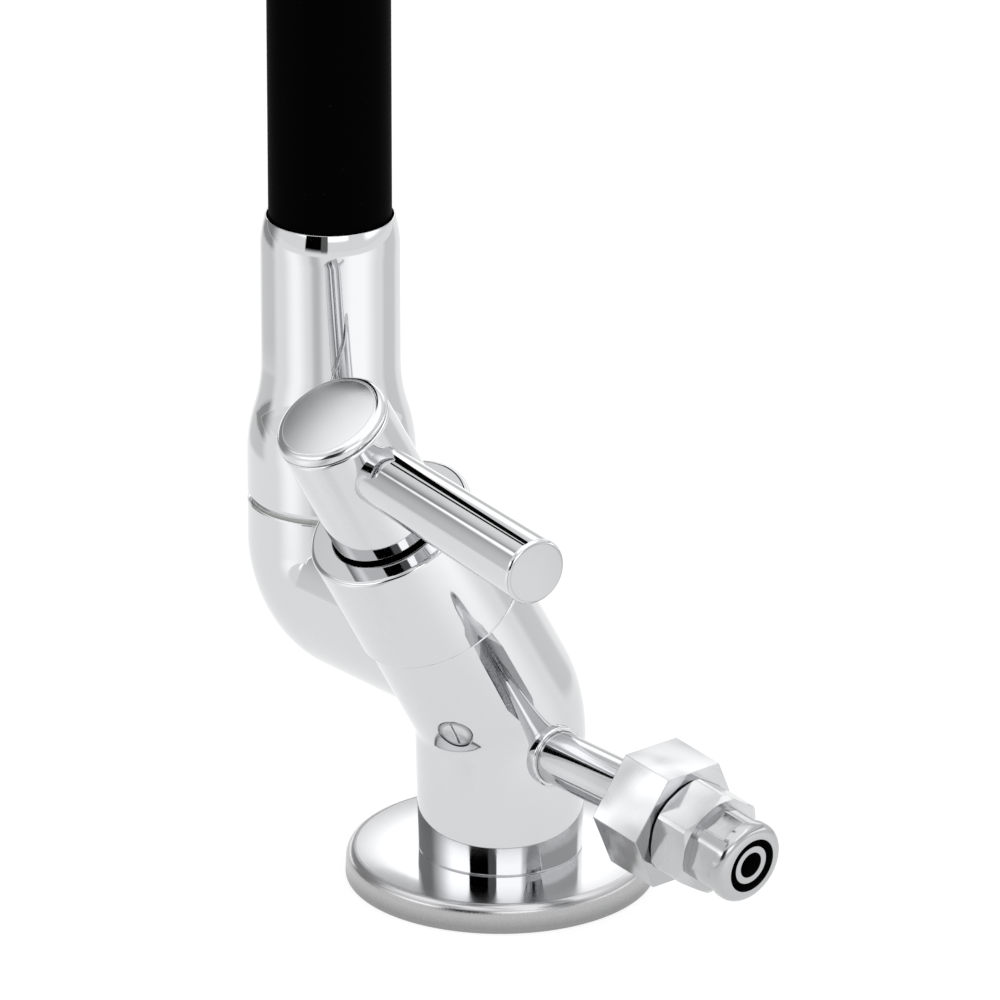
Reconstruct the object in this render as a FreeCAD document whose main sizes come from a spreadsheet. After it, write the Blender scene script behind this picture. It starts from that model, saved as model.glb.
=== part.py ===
"""Flexible kitchen tap: chromed S-shaped pillar body, leaning quarter-turn valve, swivelling hose spout.

All sizes are millimetres and degrees. The origin is the middle of the base disc on the worktop, +Z is up,
-Y is towards the sink (the spout side), +Y is the supply side and +X is the side the valve leans to.
Three frames carry the pieces:
  the tap's own frame, for the disc, the body, the supply pipe and everything upright;
  the valve frame, whose Z runs up the leaning valve axis from the point where it leaves the foot's axis;
  the fitting frame, whose Z runs out of the supply pipe's drooping end.
"""
import FreeCAD
import Part
import math
import os
import PartDesign
import Sketcher

SIZE_TABLE = [
    ("disc_rad", 28.6, "base disc, radius at its lower edge"),
    ("disc_top_rad", 27.2, "base disc, radius where the top begins"),
    ("disc_rim_tall", 5.2, "base disc, height of the rim's top"),
    ("disc_tall", 5.6, "base disc, height of the seat under the foot"),
    ("disc_flare", 0.45, "base disc, flare of the side towards the worktop"),
    ("gasket_out_rad", 25.5, "worktop gasket, outer radius"),
    ("gasket_in_rad", 19.5, "worktop gasket, inner radius"),
    ("gasket_thick", 1.5, "worktop gasket, thickness"),
    ("foot_rad", 15.1, "foot, radius on the disc"),
    ("tube_rad", 15.65, "outer radius of the bend, the valve neck and the housing"),
    ("column_rad", 15.7, "outer radius of the elbow and the column's foot"),
    ("spigot_rad", 10.0, "spigot under the foot that centres the disc"),
    ("fix_hole_rad", 4.25, "tapped fixing hole, M10 core radius"),
    ("fix_hole_deep", 17.0, "tapped fixing hole, depth from the underside"),
    ("seat_gap", 0.05, "clearance of a fixed piece in its seat"),
    ("run_gap", 0.08, "clearance of a turning piece in its bearing"),
    ("valve_root_tall", 31.4, "height at which the valve axis leaves the foot's axis"),
    ("valve_lean", 30.1, "lean of the valve axis from upright"),
    ("neck_root_tall", 33.05, "height at which the cast neck's axis leaves the foot's axis"),
    ("bend_rad", 20.0, "middle radius of the bend between foot and valve neck"),
    ("neck_end", 29.6, "end of the cast neck, along the valve axis"),
    ("rim_end", 51.9, "face of the valve housing, along the valve axis"),
    ("housing_wall", 3.45, "valve housing, wall"),
    ("housing_mouth_step", 1.05, "valve housing, how far its end wall stands in at the mouth"),
    ("housing_lip", 3.0, "valve housing, thickness of its end wall"),
    ("rim_edge", 0.9, "valve housing, rounding of the rim"),
    ("seam_edge", 0.25, "small edge break at a joint line"),
    ("chamber_floor", 20.0, "floor of the valve chamber, along the valve axis"),
    ("chamber_rad", 9.6, "valve chamber, radius"),
    ("feed_rad", 2.8, "feed drilling up to the valve seat, radius"),
    ("drain_rad", 2.0, "drilling from the chamber to the elbow, radius"),
    ("drain_off", 8.4, "that drilling's distance from the valve axis"),
    ("drain_from", 8.0, "that drilling's lower end, along the valve axis"),
    ("elbow_tall", 43.65, "height of the elbow's level run"),
    ("elbow_bend_rad", 8.5, "elbow, middle radius of its bend"),
    ("bore_bend_rad", 10.0, "elbow, middle radius of its waterway's bend"),
    ("elbow_ball_off", 12.5, "elbow, distance of its rounded root from the foot's axis"),
    ("elbow_bore_rad", 7.0, "elbow, waterway radius"),
    ("elbow_bore_from", 7.0, "elbow, where the waterway begins"),
    ("column_off", 49.2, "distance of the column's axis from the foot's axis"),
    ("plug_at", 9.6, "plug screw, distance along the valve axis"),
    ("plug_turn", 28.0, "plug screw, angle round the valve axis"),
    ("plug_rad", 3.35, "plug screw, radius"),
    ("plug_len", 4.35, "plug screw, length"),
    ("plug_sink", 0.7, "plug screw, how far its head lies below the surface"),
    ("plug_slot_wide", 0.9, "plug screw, slot width"),
    ("plug_slot_deep", 1.2, "plug screw, slot depth"),
    ("head_low_rad", 7.7, "valve headpart, radius below its thread"),
    ("head_thread_rad", 9.5, "valve headpart, thread radius"),
    ("head_thread_from", 26.0, "valve headpart, start of its thread"),
    ("head_flange_gap", 0.6, "valve headpart, gap between its flange and the housing"),
    ("head_flange_thick", 3.2, "valve headpart, flange thickness"),
    ("head_neck_rad", 7.9, "valve headpart, neck radius"),
    ("head_neck_end", 49.3, "valve headpart, end of its neck"),
    ("head_bore_rad", 6.6, "valve headpart, radius of the disc space"),
    ("head_bore_end", 27.2, "valve headpart, end of the disc space"),
    ("head_clip_floor", 46.8, "valve headpart, floor of the clip recess"),
    ("head_clip_rad", 5.8, "valve headpart, radius of the clip recess"),
    ("window_wide", 5.0, "valve headpart, width of its side windows"),
    ("window_from", 23.6, "valve headpart, lower edge of its side windows"),
    ("window_to", 25.4, "valve headpart, upper edge of its side windows"),
    ("head_seal_thick", 1.2, "headpart's lip seal, thickness"),
    ("head_seal_in_rad", 4.4, "headpart's lip seal, inner radius"),
    ("washer_sect_rad", 0.9, "headpart's O-ring, section radius"),
    ("disc_a_thick", 2.2, "fixed ceramic disc, thickness"),
    ("disc_b_thick", 2.0, "turning ceramic disc, thickness"),
    ("ceramic_rad", 6.5, "ceramic discs, radius"),
    ("port_rad", 1.6, "ceramic discs, port radius"),
    ("port_off", 3.5, "ceramic discs, distance of a port from the axis"),
    ("stem_rad", 4.0, "spindle, stem radius"),
    ("stem_drive_rad", 6.2, "spindle, radius of its drive flange"),
    ("stem_top_rad", 3.8, "spindle, radius of its serrated top"),
    ("stem_top", 61.6, "spindle, end of its top"),
    ("stem_tap_rad", 1.65, "spindle, tapped hole for the handle screw"),
    ("ring_sect_rad", 0.55, "spindle O-ring, section radius"),
    ("ring_a_at", 37.0, "first spindle O-ring, along the valve axis"),
    ("ring_b_at", 41.0, "second spindle O-ring, along the valve axis"),
    ("clip_thick", 0.8, "retaining clips, thickness"),
    ("hub_play", 0.43, "handle hub, gap round it in the housing's mouth"),
    ("hub_neck_step", 0.82, "handle hub, step down to its neck"),
    ("hub_from", 50.4, "handle hub, lower end of its neck"),
    ("hub_step", 52.65, "handle hub, where the neck meets the full radius"),
    ("hub_end", 77.2, "handle hub, top, under the cap"),
    ("hub_web_from", 62.0, "handle hub, underside of the screw web"),
    ("hub_web_to", 63.6, "handle hub, top of the screw web"),
    ("hub_well_rad", 4.4, "handle hub, radius of the screw well"),
    ("cap_seat_from", 75.0, "handle hub, floor of the cap seat"),
    ("hub_wall", 2.72, "handle hub, wall round the cap seat"),
    ("cap_groove", 0.35, "width of the groove under the cap's rim"),
    ("cap_rim_tall", 1.9, "handle cap, height of its rim"),
    ("cap_edge", 1.5, "handle cap, rounding between rim and dome"),
    ("cap_dome_tall", 0.8, "handle cap, rise of its dome"),
    ("lever_at", 69.0, "lever, distance along the valve axis"),
    ("lever_turn", 5.6, "lever, angle from the supply side when closed"),
    ("lever_reach", 58.2, "lever, distance of its end from the valve axis"),
    ("lever_root_rad", 5.65, "lever, radius at the hub"),
    ("lever_end_rad", 6.1, "lever, radius at its end"),
    ("lever_tenon_from", 5.6, "lever, distance of its tenon's end from the valve axis"),
    ("lever_edge", 0.5, "lever, edge break at its end"),
    ("stub_tall", 28.4, "supply pipe, height of its axis"),
    ("stub_rad", 5.0, "supply pipe, outer radius"),
    ("stub_bore_rad", 4.0, "supply pipe, inner radius"),
    ("stub_from", 11.0, "supply pipe, inner end in the body"),
    ("stub_bend_from", 35.8, "supply pipe, where it starts to droop"),
    ("stub_bend_rad", 28.0, "supply pipe, middle radius of its bend"),
    ("stub_droop", 8.7, "supply pipe, angle of its bend"),
    ("stub_roll", 23.0, "supply pipe, lie of its bend's plane from upright"),
    ("stub_end_len", 6.0, "supply pipe, straight length inside the socket nut"),
    ("stub_ring_rad", 6.3, "braze collar, radius"),
    ("stub_ring_from", 13.4, "braze collar, start"),
    ("stub_ring_to", 16.9, "braze collar, end"),
    ("nut_a_flats", 22.0, "socket nut, across flats"),
    ("nut_a_len", 11.3, "socket nut, length"),
    ("nut_a_turn", 35.0, "socket nut, angle of its corners"),
    ("nut_a_thread_rad", 6.6, "socket nut, radius of its threaded bore"),
    ("nut_a_pipe_end", 5.6, "socket nut, depth of the pipe socket"),
    ("seal_thick", 1.0, "sealing ring between nut and fitting, thickness"),
    ("seal_rad", 9.2, "sealing ring, radius"),
    ("nut_b_flats", 17.8, "fitting's hexagon, across flats"),
    ("nut_b_len", 7.6, "fitting's hexagon, length"),
    ("nut_b_turn", 5.3, "fitting's hexagon, angle of its corners"),
    ("nut_b_corner_rad", 10.1, "fitting's hexagon, radius its corners are turned to"),
    ("fit_thread_rad", 6.55, "fitting, thread radius"),
    ("fit_thread_len", 4.6, "fitting, thread length"),
    ("spigot_tip_rad", 3.7, "fitting's hose spigot, radius"),
    ("spigot_bore_rad", 2.5, "fitting's hose spigot, bore radius"),
    ("union_rad", 7.75, "union nut, radius"),
    ("union_flats", 14.5, "union nut, across flats"),
    ("union_len", 8.6, "union nut, length"),
    ("union_flat_len", 5.9, "union nut, length of its flats"),
    ("union_nose_rad", 1.9, "union nut, rounding of its nose"),
    ("union_mouth_rad", 5.2, "union nut, radius of the tube's mouth"),
    ("union_turn", 30.0, "union nut, angle of its flats"),
    ("seam_over", 0.15, "swivel joint, height above the top of the elbow's level run"),
    ("glide_thick", 0.6, "glide ring, thickness"),
    ("glide_set_back", 0.8, "glide ring, how far it stays inside the column's radius"),
    ("glide_play", 0.4, "glide ring, gap round the nipple"),
    ("nipple_rad", 9.0, "swivel nipple, radius"),
    ("nipple_wall", 3.0, "swivel nipple, wall"),
    ("nipple_sunk", 9.9, "swivel nipple, depth in the elbow"),
    ("nipple_over", 3.5, "swivel nipple, height above the column's shelf"),
    ("swivel_ring_sect", 0.9, "swivel O-ring, section radius"),
    ("swivel_ring_a", 12.5, "lower swivel O-ring, distance below the column's shelf"),
    ("swivel_ring_b", 6.5, "upper swivel O-ring, distance below the column's shelf"),
    ("shelf_up", 18.0, "column, height of the shelf under the clip above the swivel joint"),
    ("column_edge", 1.1, "column, rounding at the swivel joint"),
    ("flare_up", 8.9, "column, height of the flare's start above the swivel joint"),
    ("flare_len", 18.2, "column, height of the flare"),
    ("collar_wall", 1.2, "column and outlet, wall round the hose"),
    ("collar_up", 55.7, "column, height of the collar's mouth above the swivel joint"),
    ("hose_play", 0.37, "column and outlet, gap round the hose in their mouths"),
    ("floor_up", 37.5, "column, height of the mouth's floor above the swivel joint"),
    ("column_well_rad", 10.9, "column, radius of the well below the mouth"),
    ("hose_rad", 11.4, "hose sleeve, outer radius"),
    ("hose_wall", 2.4, "hose sleeve, wall"),
    ("hose_arch_rad", 80.0, "hose, middle radius of the arch"),
    ("hose_arch_tall", 250.0, "hose, height at which the arch begins"),
    ("hose_drop", 26.0, "hose, straight length after the arch"),
    ("coil_play", 0.1, "gooseneck core, gap inside the hose sleeve"),
    ("coil_wall", 1.6, "gooseneck core, wall"),
    ("water_rad", 4.6, "water tube, outer radius"),
    ("water_wall", 1.2, "water tube, wall"),
    ("tail_tip_len", 10.0, "hose tails, length of the tip in the water tube"),
    ("tail_tip_rad", 3.3, "hose tails, tip radius"),
    ("tail_bore_rad", 2.3, "hose tails, bore radius"),
    ("tail_neck_rad", 7.2, "hose tails, radius of the neck in the core"),
    ("tail_neck_len", 5.0, "hose tails, length of that neck"),
    ("outlet_grip", 19.0, "outlet sleeve, length over the hose"),
    ("outlet_len", 34.0, "outlet sleeve, length"),
    ("outlet_end_rad", 12.2, "outlet sleeve, radius at its lower end"),
    ("aerator_rad", 11.2, "aerator shell, radius"),
    ("aerator_show", 3.2, "aerator shell, length below the sleeve"),
    ("aerator_deep", 6.0, "aerator shell, length inside the sleeve"),
    ("aerator_wall", 1.3, "aerator shell, wall"),
    ("washer_wide", 4.0, "aerator washer, width of its ring"),
    ("jet_rad", 0.7, "aerator insert, radius of a jet hole"),
    ("jet_circle_rad", 6.0, "aerator insert, radius of the ring of jets"),
]

doc = FreeCAD.newDocument("FlexibleTap")
sheet = doc.addObject("Spreadsheet::Sheet", "Sizes")


class Size:
    """A length or angle that carries both its number and the spreadsheet formula it comes from."""

    def __init__(self, value, text):
        self.value = float(value)
        self.text = text

    def _join(self, other, sign, value):
        return Size(value, "(%s %s %s)" % (self.text, sign, as_size(other).text))

    def __add__(self, other):
        return self._join(other, "+", self.value + as_size(other).value)

    def __sub__(self, other):
        return self._join(other, "-", self.value - as_size(other).value)

    def __mul__(self, other):
        return self._join(other, "*", self.value * as_size(other).value)

    def __truediv__(self, other):
        return self._join(other, "/", self.value / as_size(other).value)

    def __neg__(self):
        return Size(-self.value, "(0 - %s)" % self.text)

    def __radd__(self, other):
        return as_size(other) + self

    def __rsub__(self, other):
        return as_size(other) - self

    def __rmul__(self, other):
        return as_size(other) * self


def as_size(number):
    """Takes a plain number as a size without a cell of its own."""
    if isinstance(number, Size):
        return number
    return Size(number, repr(float(number)))


def cosine(angle):
    return Size(math.cos(math.radians(angle.value)), "cos(%s)" % angle.text)


def sine(angle):
    return Size(math.sin(math.radians(angle.value)), "sin(%s)" % angle.text)


def tangent(angle):
    return Size(math.tan(math.radians(angle.value)), "tan(%s)" % angle.text)


def root(number):
    return Size(math.sqrt(number.value), "sqrt(%s)" % number.text)


class Sheet:
    """The named sizes, each an attribute that is bound to its spreadsheet cell."""


s = Sheet()
for row, (alias, value, meaning) in enumerate(SIZE_TABLE, start=1):
    sheet.set("A%d" % row, meaning)
    sheet.set("B%d" % row, repr(value))
    sheet.setAlias("B%d" % row, alias)
    setattr(s, alias, Size(value, "Sizes." + alias))
doc.recompute()

ZERO = as_size(0)

# Sizes that follow from others, so that pieces that fit together stay together.
HOUSING_BORE = s.tube_rad - s.housing_wall
HOUSING_MOUTH = HOUSING_BORE - s.housing_mouth_step
HEAD_FLANGE = HOUSING_BORE - s.head_flange_gap
HUB_RAD = HOUSING_MOUTH - s.hub_play
HUB_NECK = HUB_RAD - s.hub_neck_step
CAP_SEAT = HUB_RAD - s.hub_wall
PLUG_HEAD = s.tube_rad - s.plug_sink
PLUG_END = PLUG_HEAD - s.plug_len
SEAM_TALL = s.elbow_tall + s.column_rad + s.seam_over
COLUMN_SHELF = SEAM_TALL + s.shelf_up
FLARE_FROM = SEAM_TALL + s.flare_up
FLARE_TO = FLARE_FROM + s.flare_len
MOUTH_FLOOR = SEAM_TALL + s.floor_up
COLLAR_TOP = SEAM_TALL + s.collar_up
MOUTH_RAD = s.hose_rad + s.hose_play
COLLAR_RAD = MOUTH_RAD + s.collar_wall
COIL_RAD = s.hose_rad - s.hose_wall - s.coil_play
GLIDE_OUT = s.column_rad - s.glide_set_back
GLIDE_IN = s.nipple_rad + s.glide_play
NIPPLE_BORE = s.nipple_rad - s.nipple_wall
NIPPLE_LOW = SEAM_TALL - s.nipple_sunk
NIPPLE_TOP = COLUMN_SHELF + s.nipple_over
SWIVEL_RINGS = [COLUMN_SHELF - s.swivel_ring_a, COLUMN_SHELF - s.swivel_ring_b]


def bind(item, prop, size):
    """Ties one property of an object to a size."""
    item.setExpression(prop, as_size(size).text)


def vector_text(x, y, z):
    return "vector(%s; %s; %s)" % (as_size(x).text, as_size(y).text, as_size(z).text)


def shift(x, y, z):
    """A placement that only moves."""
    return "placement(%s; rotation(vector(0; 0; 1); 0))" % vector_text(x, y, z)


def turn(axis, angle):
    """A placement that only turns, about one of the axes X, Y or Z."""
    direction = {"X": "vector(1; 0; 0)", "Y": "vector(0; 1; 0)", "Z": "vector(0; 0; 1)"}[axis]
    return "placement(vector(0; 0; 0); rotation(%s; %s))" % (direction, as_size(angle).text)


def place(item, *steps):
    """Places an object by a chain of moves and turns, outermost first."""
    if steps:
        item.setExpression("Placement", " * ".join(steps))


VALVE_FRAME = (shift(0, 0, s.valve_root_tall), turn("Y", s.valve_lean))
NECK_FRAME = (shift(0, 0, s.neck_root_tall), turn("Y", s.valve_lean))
HANDLE_FRAME = VALVE_FRAME + (turn("Z", -s.lever_turn),)
COLUMN_FRAME = (shift(0, -s.column_off, 0),)
PIPE_FRAME = (shift(0, s.stub_from, s.stub_tall), turn("X", -90), turn("Z", 180 + s.stub_roll))
PIPE_STRAIGHT = s.stub_bend_from - s.stub_from
FITTING_FRAME = PIPE_FRAME + (
    shift(0, s.stub_bend_rad * (cosine(s.stub_droop) - 1), PIPE_STRAIGHT + s.stub_bend_rad * sine(s.stub_droop)),
    turn("X", s.stub_droop),
)


def origin_plane(body, role):
    """One of a body's own three origin planes."""
    return [feature for feature in body.Origin.OriginFeatures if feature.Role == role][0]


def new_sketch(body, name, role):
    sketch = body.newObject("Sketcher::SketchObject", name)
    sketch.AttachmentSupport = [(origin_plane(body, role), "")]
    sketch.MapMode = "FlatFace"
    return sketch


def hold(sketch, geometry, end, x, y):
    """Fixes one end of a sketch line or arc at two sizes measured from the sketch's origin."""
    for kind, size in (("DistanceX", as_size(x)), ("DistanceY", as_size(y))):
        index = sketch.addConstraint(Sketcher.Constraint(kind, -1, 1, geometry, end, size.value))
        sketch.setExpression("Constraints[%d]" % index, size.text)


def arc_between(start, end, radius, bulge):
    """The arc of a given radius from start to end.

    bulge is +1 when it bows to the left of the way, -1 to the right, and 2 or -2 for the long way round.
    """
    middle = (start + end) * 0.5
    chord = end - start
    left = FreeCAD.Vector(-chord.y, chord.x, 0).normalize()
    depth = math.sqrt(max(radius ** 2 - (chord.Length / 2) ** 2, 0.0))
    rise = radius - depth if abs(bulge) == 1 else radius + depth
    top = middle + left * math.copysign(rise, bulge)
    return Part.Arc(start, top, end)


def outline(sketch, points, arcs=None):
    """Draws a closed outline through points given as pairs of sizes.

    arcs maps the number of a point to (radius, bulge): the side that starts there is an arc.
    """
    arcs = arcs or {}
    places = [FreeCAD.Vector(as_size(x).value, as_size(y).value, 0) for x, y in points]
    count = len(points)
    for number in range(count):
        start, end = places[number], places[(number + 1) % count]
        if number in arcs:
            radius, bulge = arcs[number]
            sketch.addGeometry(arc_between(start, end, as_size(radius).value, bulge), False)
        else:
            sketch.addGeometry(Part.LineSegment(start, end), False)
    # An arc keeps its own sense of turning, so its ends are found by where they lie.
    ends = []
    for number in range(count):
        first = sketch.getPoint(number, 1)
        forward = (first - places[number]).Length < (first - places[(number + 1) % count]).Length
        ends.append((1, 2) if forward else (2, 1))
    for number in range(count):
        after = (number + 1) % count
        sketch.addConstraint(
            Sketcher.Constraint("Coincident", number, ends[number][1], after, ends[after][0]))
    for number, (x, y) in enumerate(points):
        hold(sketch, number, ends[number][0], x, y)
        if number in arcs:
            radius = as_size(arcs[number][0])
            index = sketch.addConstraint(Sketcher.Constraint("Radius", number, radius.value))
            sketch.setExpression("Constraints[%d]" % index, radius.text)


def new_body(label, *frame):
    body = doc.addObject("PartDesign::Body", label)
    body.Label = label
    place(body, *frame)
    return body


def turned(label, points, arcs=None, frame=()):
    """A turned piece: the outline, given as (radius, height) pairs, goes once round the body's Z axis."""
    body = new_body(label, *frame)
    sketch = new_sketch(body, label + "_profile", "XZ_Plane")
    outline(sketch, points, arcs)
    feature = body.newObject("PartDesign::Revolution", label + "_turned")
    feature.Profile = sketch
    feature.ReferenceAxis = (sketch, ["V_Axis"])
    feature.Angle = 360
    return body


def ring_of(radius, count, first_turn):
    """The corners of a regular polygon, as pairs of sizes."""
    corners = []
    for number in range(count):
        angle = first_turn + number * 360.0 / count
        corners.append((radius * cosine(angle), radius * sine(angle)))
    return corners


def circles(sketch, places, radius):
    """Draws circles of one radius with their centres at pairs of sizes."""
    for x, y in places:
        centre = FreeCAD.Vector(as_size(x).value, as_size(y).value, 0)
        number = sketch.addGeometry(Part.Circle(centre, FreeCAD.Vector(0, 0, 1), as_size(radius).value), False)
        hold(sketch, number, 3, x, y)
        index = sketch.addConstraint(Sketcher.Constraint("Radius", number, as_size(radius).value))
        sketch.setExpression("Constraints[%d]" % index, as_size(radius).text)


def through_cut(body, sketch, name):
    """Cuts a sketch right through a body, both ways."""
    cut = body.newObject("PartDesign::Pocket", name)
    cut.Profile = sketch
    cut.Type = 1
    cut.Midplane = True
    body.Tip = cut
    return cut


def swept_ring(label, outer, inner, straight, bend, angle, after, frame):
    """A tube along a straight run, one bend towards -Y and a second straight run, starting up the body's Z."""
    body = new_body(label, *frame)
    path = new_sketch(body, label + "_path", "YZ_Plane")
    bend, angle, after = as_size(bend), as_size(angle), as_size(after)
    centre = FreeCAD.Vector(-bend.value, straight.value, 0)
    corner = ((bend * (cosine(angle) - 1)), straight + bend * sine(angle))
    tip = (corner[0] - after * sine(angle), corner[1] + after * cosine(angle))
    corner_at = FreeCAD.Vector(corner[0].value, corner[1].value, 0)
    tip_at = FreeCAD.Vector(tip[0].value, tip[1].value, 0)
    path.addGeometry(Part.LineSegment(FreeCAD.Vector(0, 0, 0), FreeCAD.Vector(0, straight.value, 0)), False)
    circle = Part.Circle(centre, FreeCAD.Vector(0, 0, 1), bend.value)
    path.addGeometry(Part.ArcOfCircle(circle, 0, math.radians(angle.value)), False)
    path.addGeometry(Part.LineSegment(corner_at, tip_at), False)
    path.addConstraint(Sketcher.Constraint("Coincident", 0, 2, 1, 1))
    path.addConstraint(Sketcher.Constraint("Coincident", 1, 2, 2, 1))
    hold(path, 0, 1, ZERO, ZERO)
    hold(path, 0, 2, ZERO, straight)
    hold(path, 1, 3, -bend, straight)
    hold(path, 2, 2, tip[0], tip[1])
    index = path.addConstraint(Sketcher.Constraint("DistanceY", -1, 1, 2, 1, corner[1].value))
    path.setExpression("Constraints[%d]" % index, corner[1].text)
    profile = new_sketch(body, label + "_ring", "XY_Plane")
    circles(profile, [(ZERO, ZERO)], outer)
    circles(profile, [(ZERO, ZERO)], inner)
    tube = body.newObject("PartDesign::AdditivePipe", label + "_tube")
    tube.Profile = profile
    tube.Spine = (path, ["Edge1", "Edge2", "Edge3"])
    return body


def cylinder(name, radius, height, *frame):
    item = doc.addObject("Part::Cylinder", name)
    bind(item, "Radius", radius)
    bind(item, "Height", height)
    place(item, *frame)
    return item


def torus(name, middle, section, sweep, *frame):
    item = doc.addObject("Part::Torus", name)
    bind(item, "Radius1", middle)
    bind(item, "Radius2", section)
    bind(item, "Angle3", sweep)
    place(item, *frame)
    return item


def fuse(name, items):
    item = doc.addObject("Part::MultiFuse", name)
    item.Shapes = items
    return item


def cut(name, base, tool):
    item = doc.addObject("Part::Cut", name)
    item.Base = base
    item.Tool = tool
    return item


def base_disc():
    """The polished disc under the foot: a slightly domed top, a rounded rim and a side that flares out."""
    groove_top = s.gasket_thick
    hole = s.spigot_rad + s.seat_gap
    edge = s.disc_rim_tall
    points = [
        (hole, ZERO),
        (s.gasket_in_rad, ZERO),
        (s.gasket_in_rad, groove_top),
        (s.gasket_out_rad, groove_top),
        (s.gasket_out_rad, ZERO),
        (s.disc_rad - 0.4, ZERO),
        (s.disc_rad, as_size(0.4)),
        (s.disc_rad - s.disc_flare, edge - 0.9),
        (s.disc_top_rad, edge),
        (s.foot_rad, s.disc_tall),
        (hole, s.disc_tall),
    ]
    return turned("base_disc", points, {7: (as_size(1.0), -1), 8: (as_size(220.0), -1)})


def base_gasket():
    """The rubber ring in the disc's underside, flush with it."""
    points = [
        (s.gasket_in_rad, ZERO),
        (s.gasket_out_rad, ZERO),
        (s.gasket_out_rad, s.gasket_thick),
        (s.gasket_in_rad, s.gasket_thick),
    ]
    return turned("base_gasket", points)


def elbow_corner():
    """The elbow's outer corner: a disc cut off at the bend's axis and swept a quarter turn about it."""
    body = new_body("elbow_corner", shift(0, s.elbow_bend_rad - s.column_off, s.elbow_tall + s.elbow_bend_rad),
                    turn("Y", 90), turn("X", -90))
    sketch = new_sketch(body, "elbow_section", "XY_Plane")
    half = root(s.column_rad * s.column_rad - s.elbow_bend_rad * s.elbow_bend_rad)
    outline(sketch, [(ZERO, half), (ZERO, -half)], {1: (s.column_rad, -2)})
    feature = body.newObject("PartDesign::Revolution", "elbow_turned")
    feature.Profile = sketch
    feature.ReferenceAxis = (sketch, ["V_Axis"])
    feature.Angle = 90
    return body


def tap_body():
    """The casting: foot, bend, leaning neck and the elbow that carries the spout, with its waterways."""
    tangent_len = s.bend_rad * tangent(s.valve_lean / 2)
    bend_start = s.neck_root_tall - tangent_len
    foot = doc.addObject("Part::Cone", "foot_cone")
    bind(foot, "Radius1", s.foot_rad)
    bind(foot, "Radius2", s.tube_rad)
    bind(foot, "Height", bend_start - s.disc_tall)
    place(foot, shift(0, 0, s.disc_tall))
    spigot = cylinder("foot_spigot", s.spigot_rad, s.disc_tall + 1)
    bend = torus("neck_bend", s.bend_rad, s.tube_rad, s.valve_lean,
                 shift(s.bend_rad, 0, bend_start), turn("X", 90), turn("Y", 180))
    root_step = (s.neck_root_tall - s.valve_root_tall) * cosine(s.valve_lean)
    neck = cylinder("neck_tube", s.tube_rad, s.neck_end - root_step - tangent_len,
                    *NECK_FRAME, shift(0, 0, tangent_len))
    ball = doc.addObject("Part::Sphere", "elbow_root")
    bind(ball, "Radius", s.column_rad)
    place(ball, shift(0, -s.elbow_ball_off, s.elbow_tall))
    run_end = s.column_off - s.elbow_bend_rad
    run = cylinder("elbow_run", s.column_rad, run_end - s.elbow_ball_off,
                   shift(0, -s.elbow_ball_off, s.elbow_tall), turn("X", 90))
    rise_from = s.elbow_tall + s.elbow_bend_rad
    rise = cylinder("elbow_rise", s.column_rad, SEAM_TALL - rise_from,
                    shift(0, -s.column_off, rise_from))
    outside = fuse("body_outside", [foot, spigot, bend, neck, ball, run, elbow_corner(), rise])
    chamber = cylinder("chamber", s.chamber_rad, s.neck_end - s.chamber_floor + 1,
                       *VALVE_FRAME, shift(0, 0, s.chamber_floor))
    feed = cylinder("feed_up", s.feed_rad, s.chamber_floor + 6, *VALVE_FRAME, shift(0, 0, -5))
    inlet = cylinder("feed_in", s.feed_rad, s.stub_from + 3, shift(0, s.stub_from + 1, s.stub_tall), turn("X", 90))
    socket = cylinder("pipe_socket", s.stub_rad + s.seat_gap, s.tube_rad,
                      shift(0, s.stub_from, s.stub_tall), turn("X", -90))
    ring_seat = cylinder("collar_seat", s.stub_ring_rad + s.seat_gap, s.tube_rad,
                         shift(0, s.stub_ring_from, s.stub_tall), turn("X", -90))
    drain = cylinder("drain", s.drain_rad, s.chamber_floor - s.drain_from + 1,
                     *VALVE_FRAME, shift(0, -s.drain_off, s.drain_from))
    bore_end = s.column_off - s.bore_bend_rad
    bore = cylinder("elbow_bore", s.elbow_bore_rad, bore_end - s.elbow_bore_from,
                    shift(0, -s.elbow_bore_from, s.elbow_tall), turn("X", 90))
    bore_turn = torus("elbow_bore_bend", s.bore_bend_rad, s.elbow_bore_rad, as_size(90),
                      shift(0, -bore_end, s.elbow_tall + s.bore_bend_rad), turn("Y", 90), turn("X", 180))
    nipple_seat = cylinder("nipple_seat", s.nipple_rad + s.seat_gap, SEAM_TALL - NIPPLE_LOW + 1,
                           shift(0, -s.column_off, NIPPLE_LOW))
    fixing = cylinder("fixing_hole", s.fix_hole_rad, s.fix_hole_deep + 1, shift(0, 0, -1))
    plug_hole = cylinder("plug_hole", s.plug_rad + s.seat_gap, s.tube_rad,
                         *NECK_FRAME, shift(0, 0, s.plug_at), turn("Z", s.plug_turn), turn("Y", 90),
                         shift(0, 0, PLUG_END))
    hollows = fuse("body_hollows", [chamber, feed, inlet, socket, ring_seat, drain, bore, bore_turn,
                                    nipple_seat, fixing, plug_hole])
    return cut("tap_body", outside, hollows)


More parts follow.
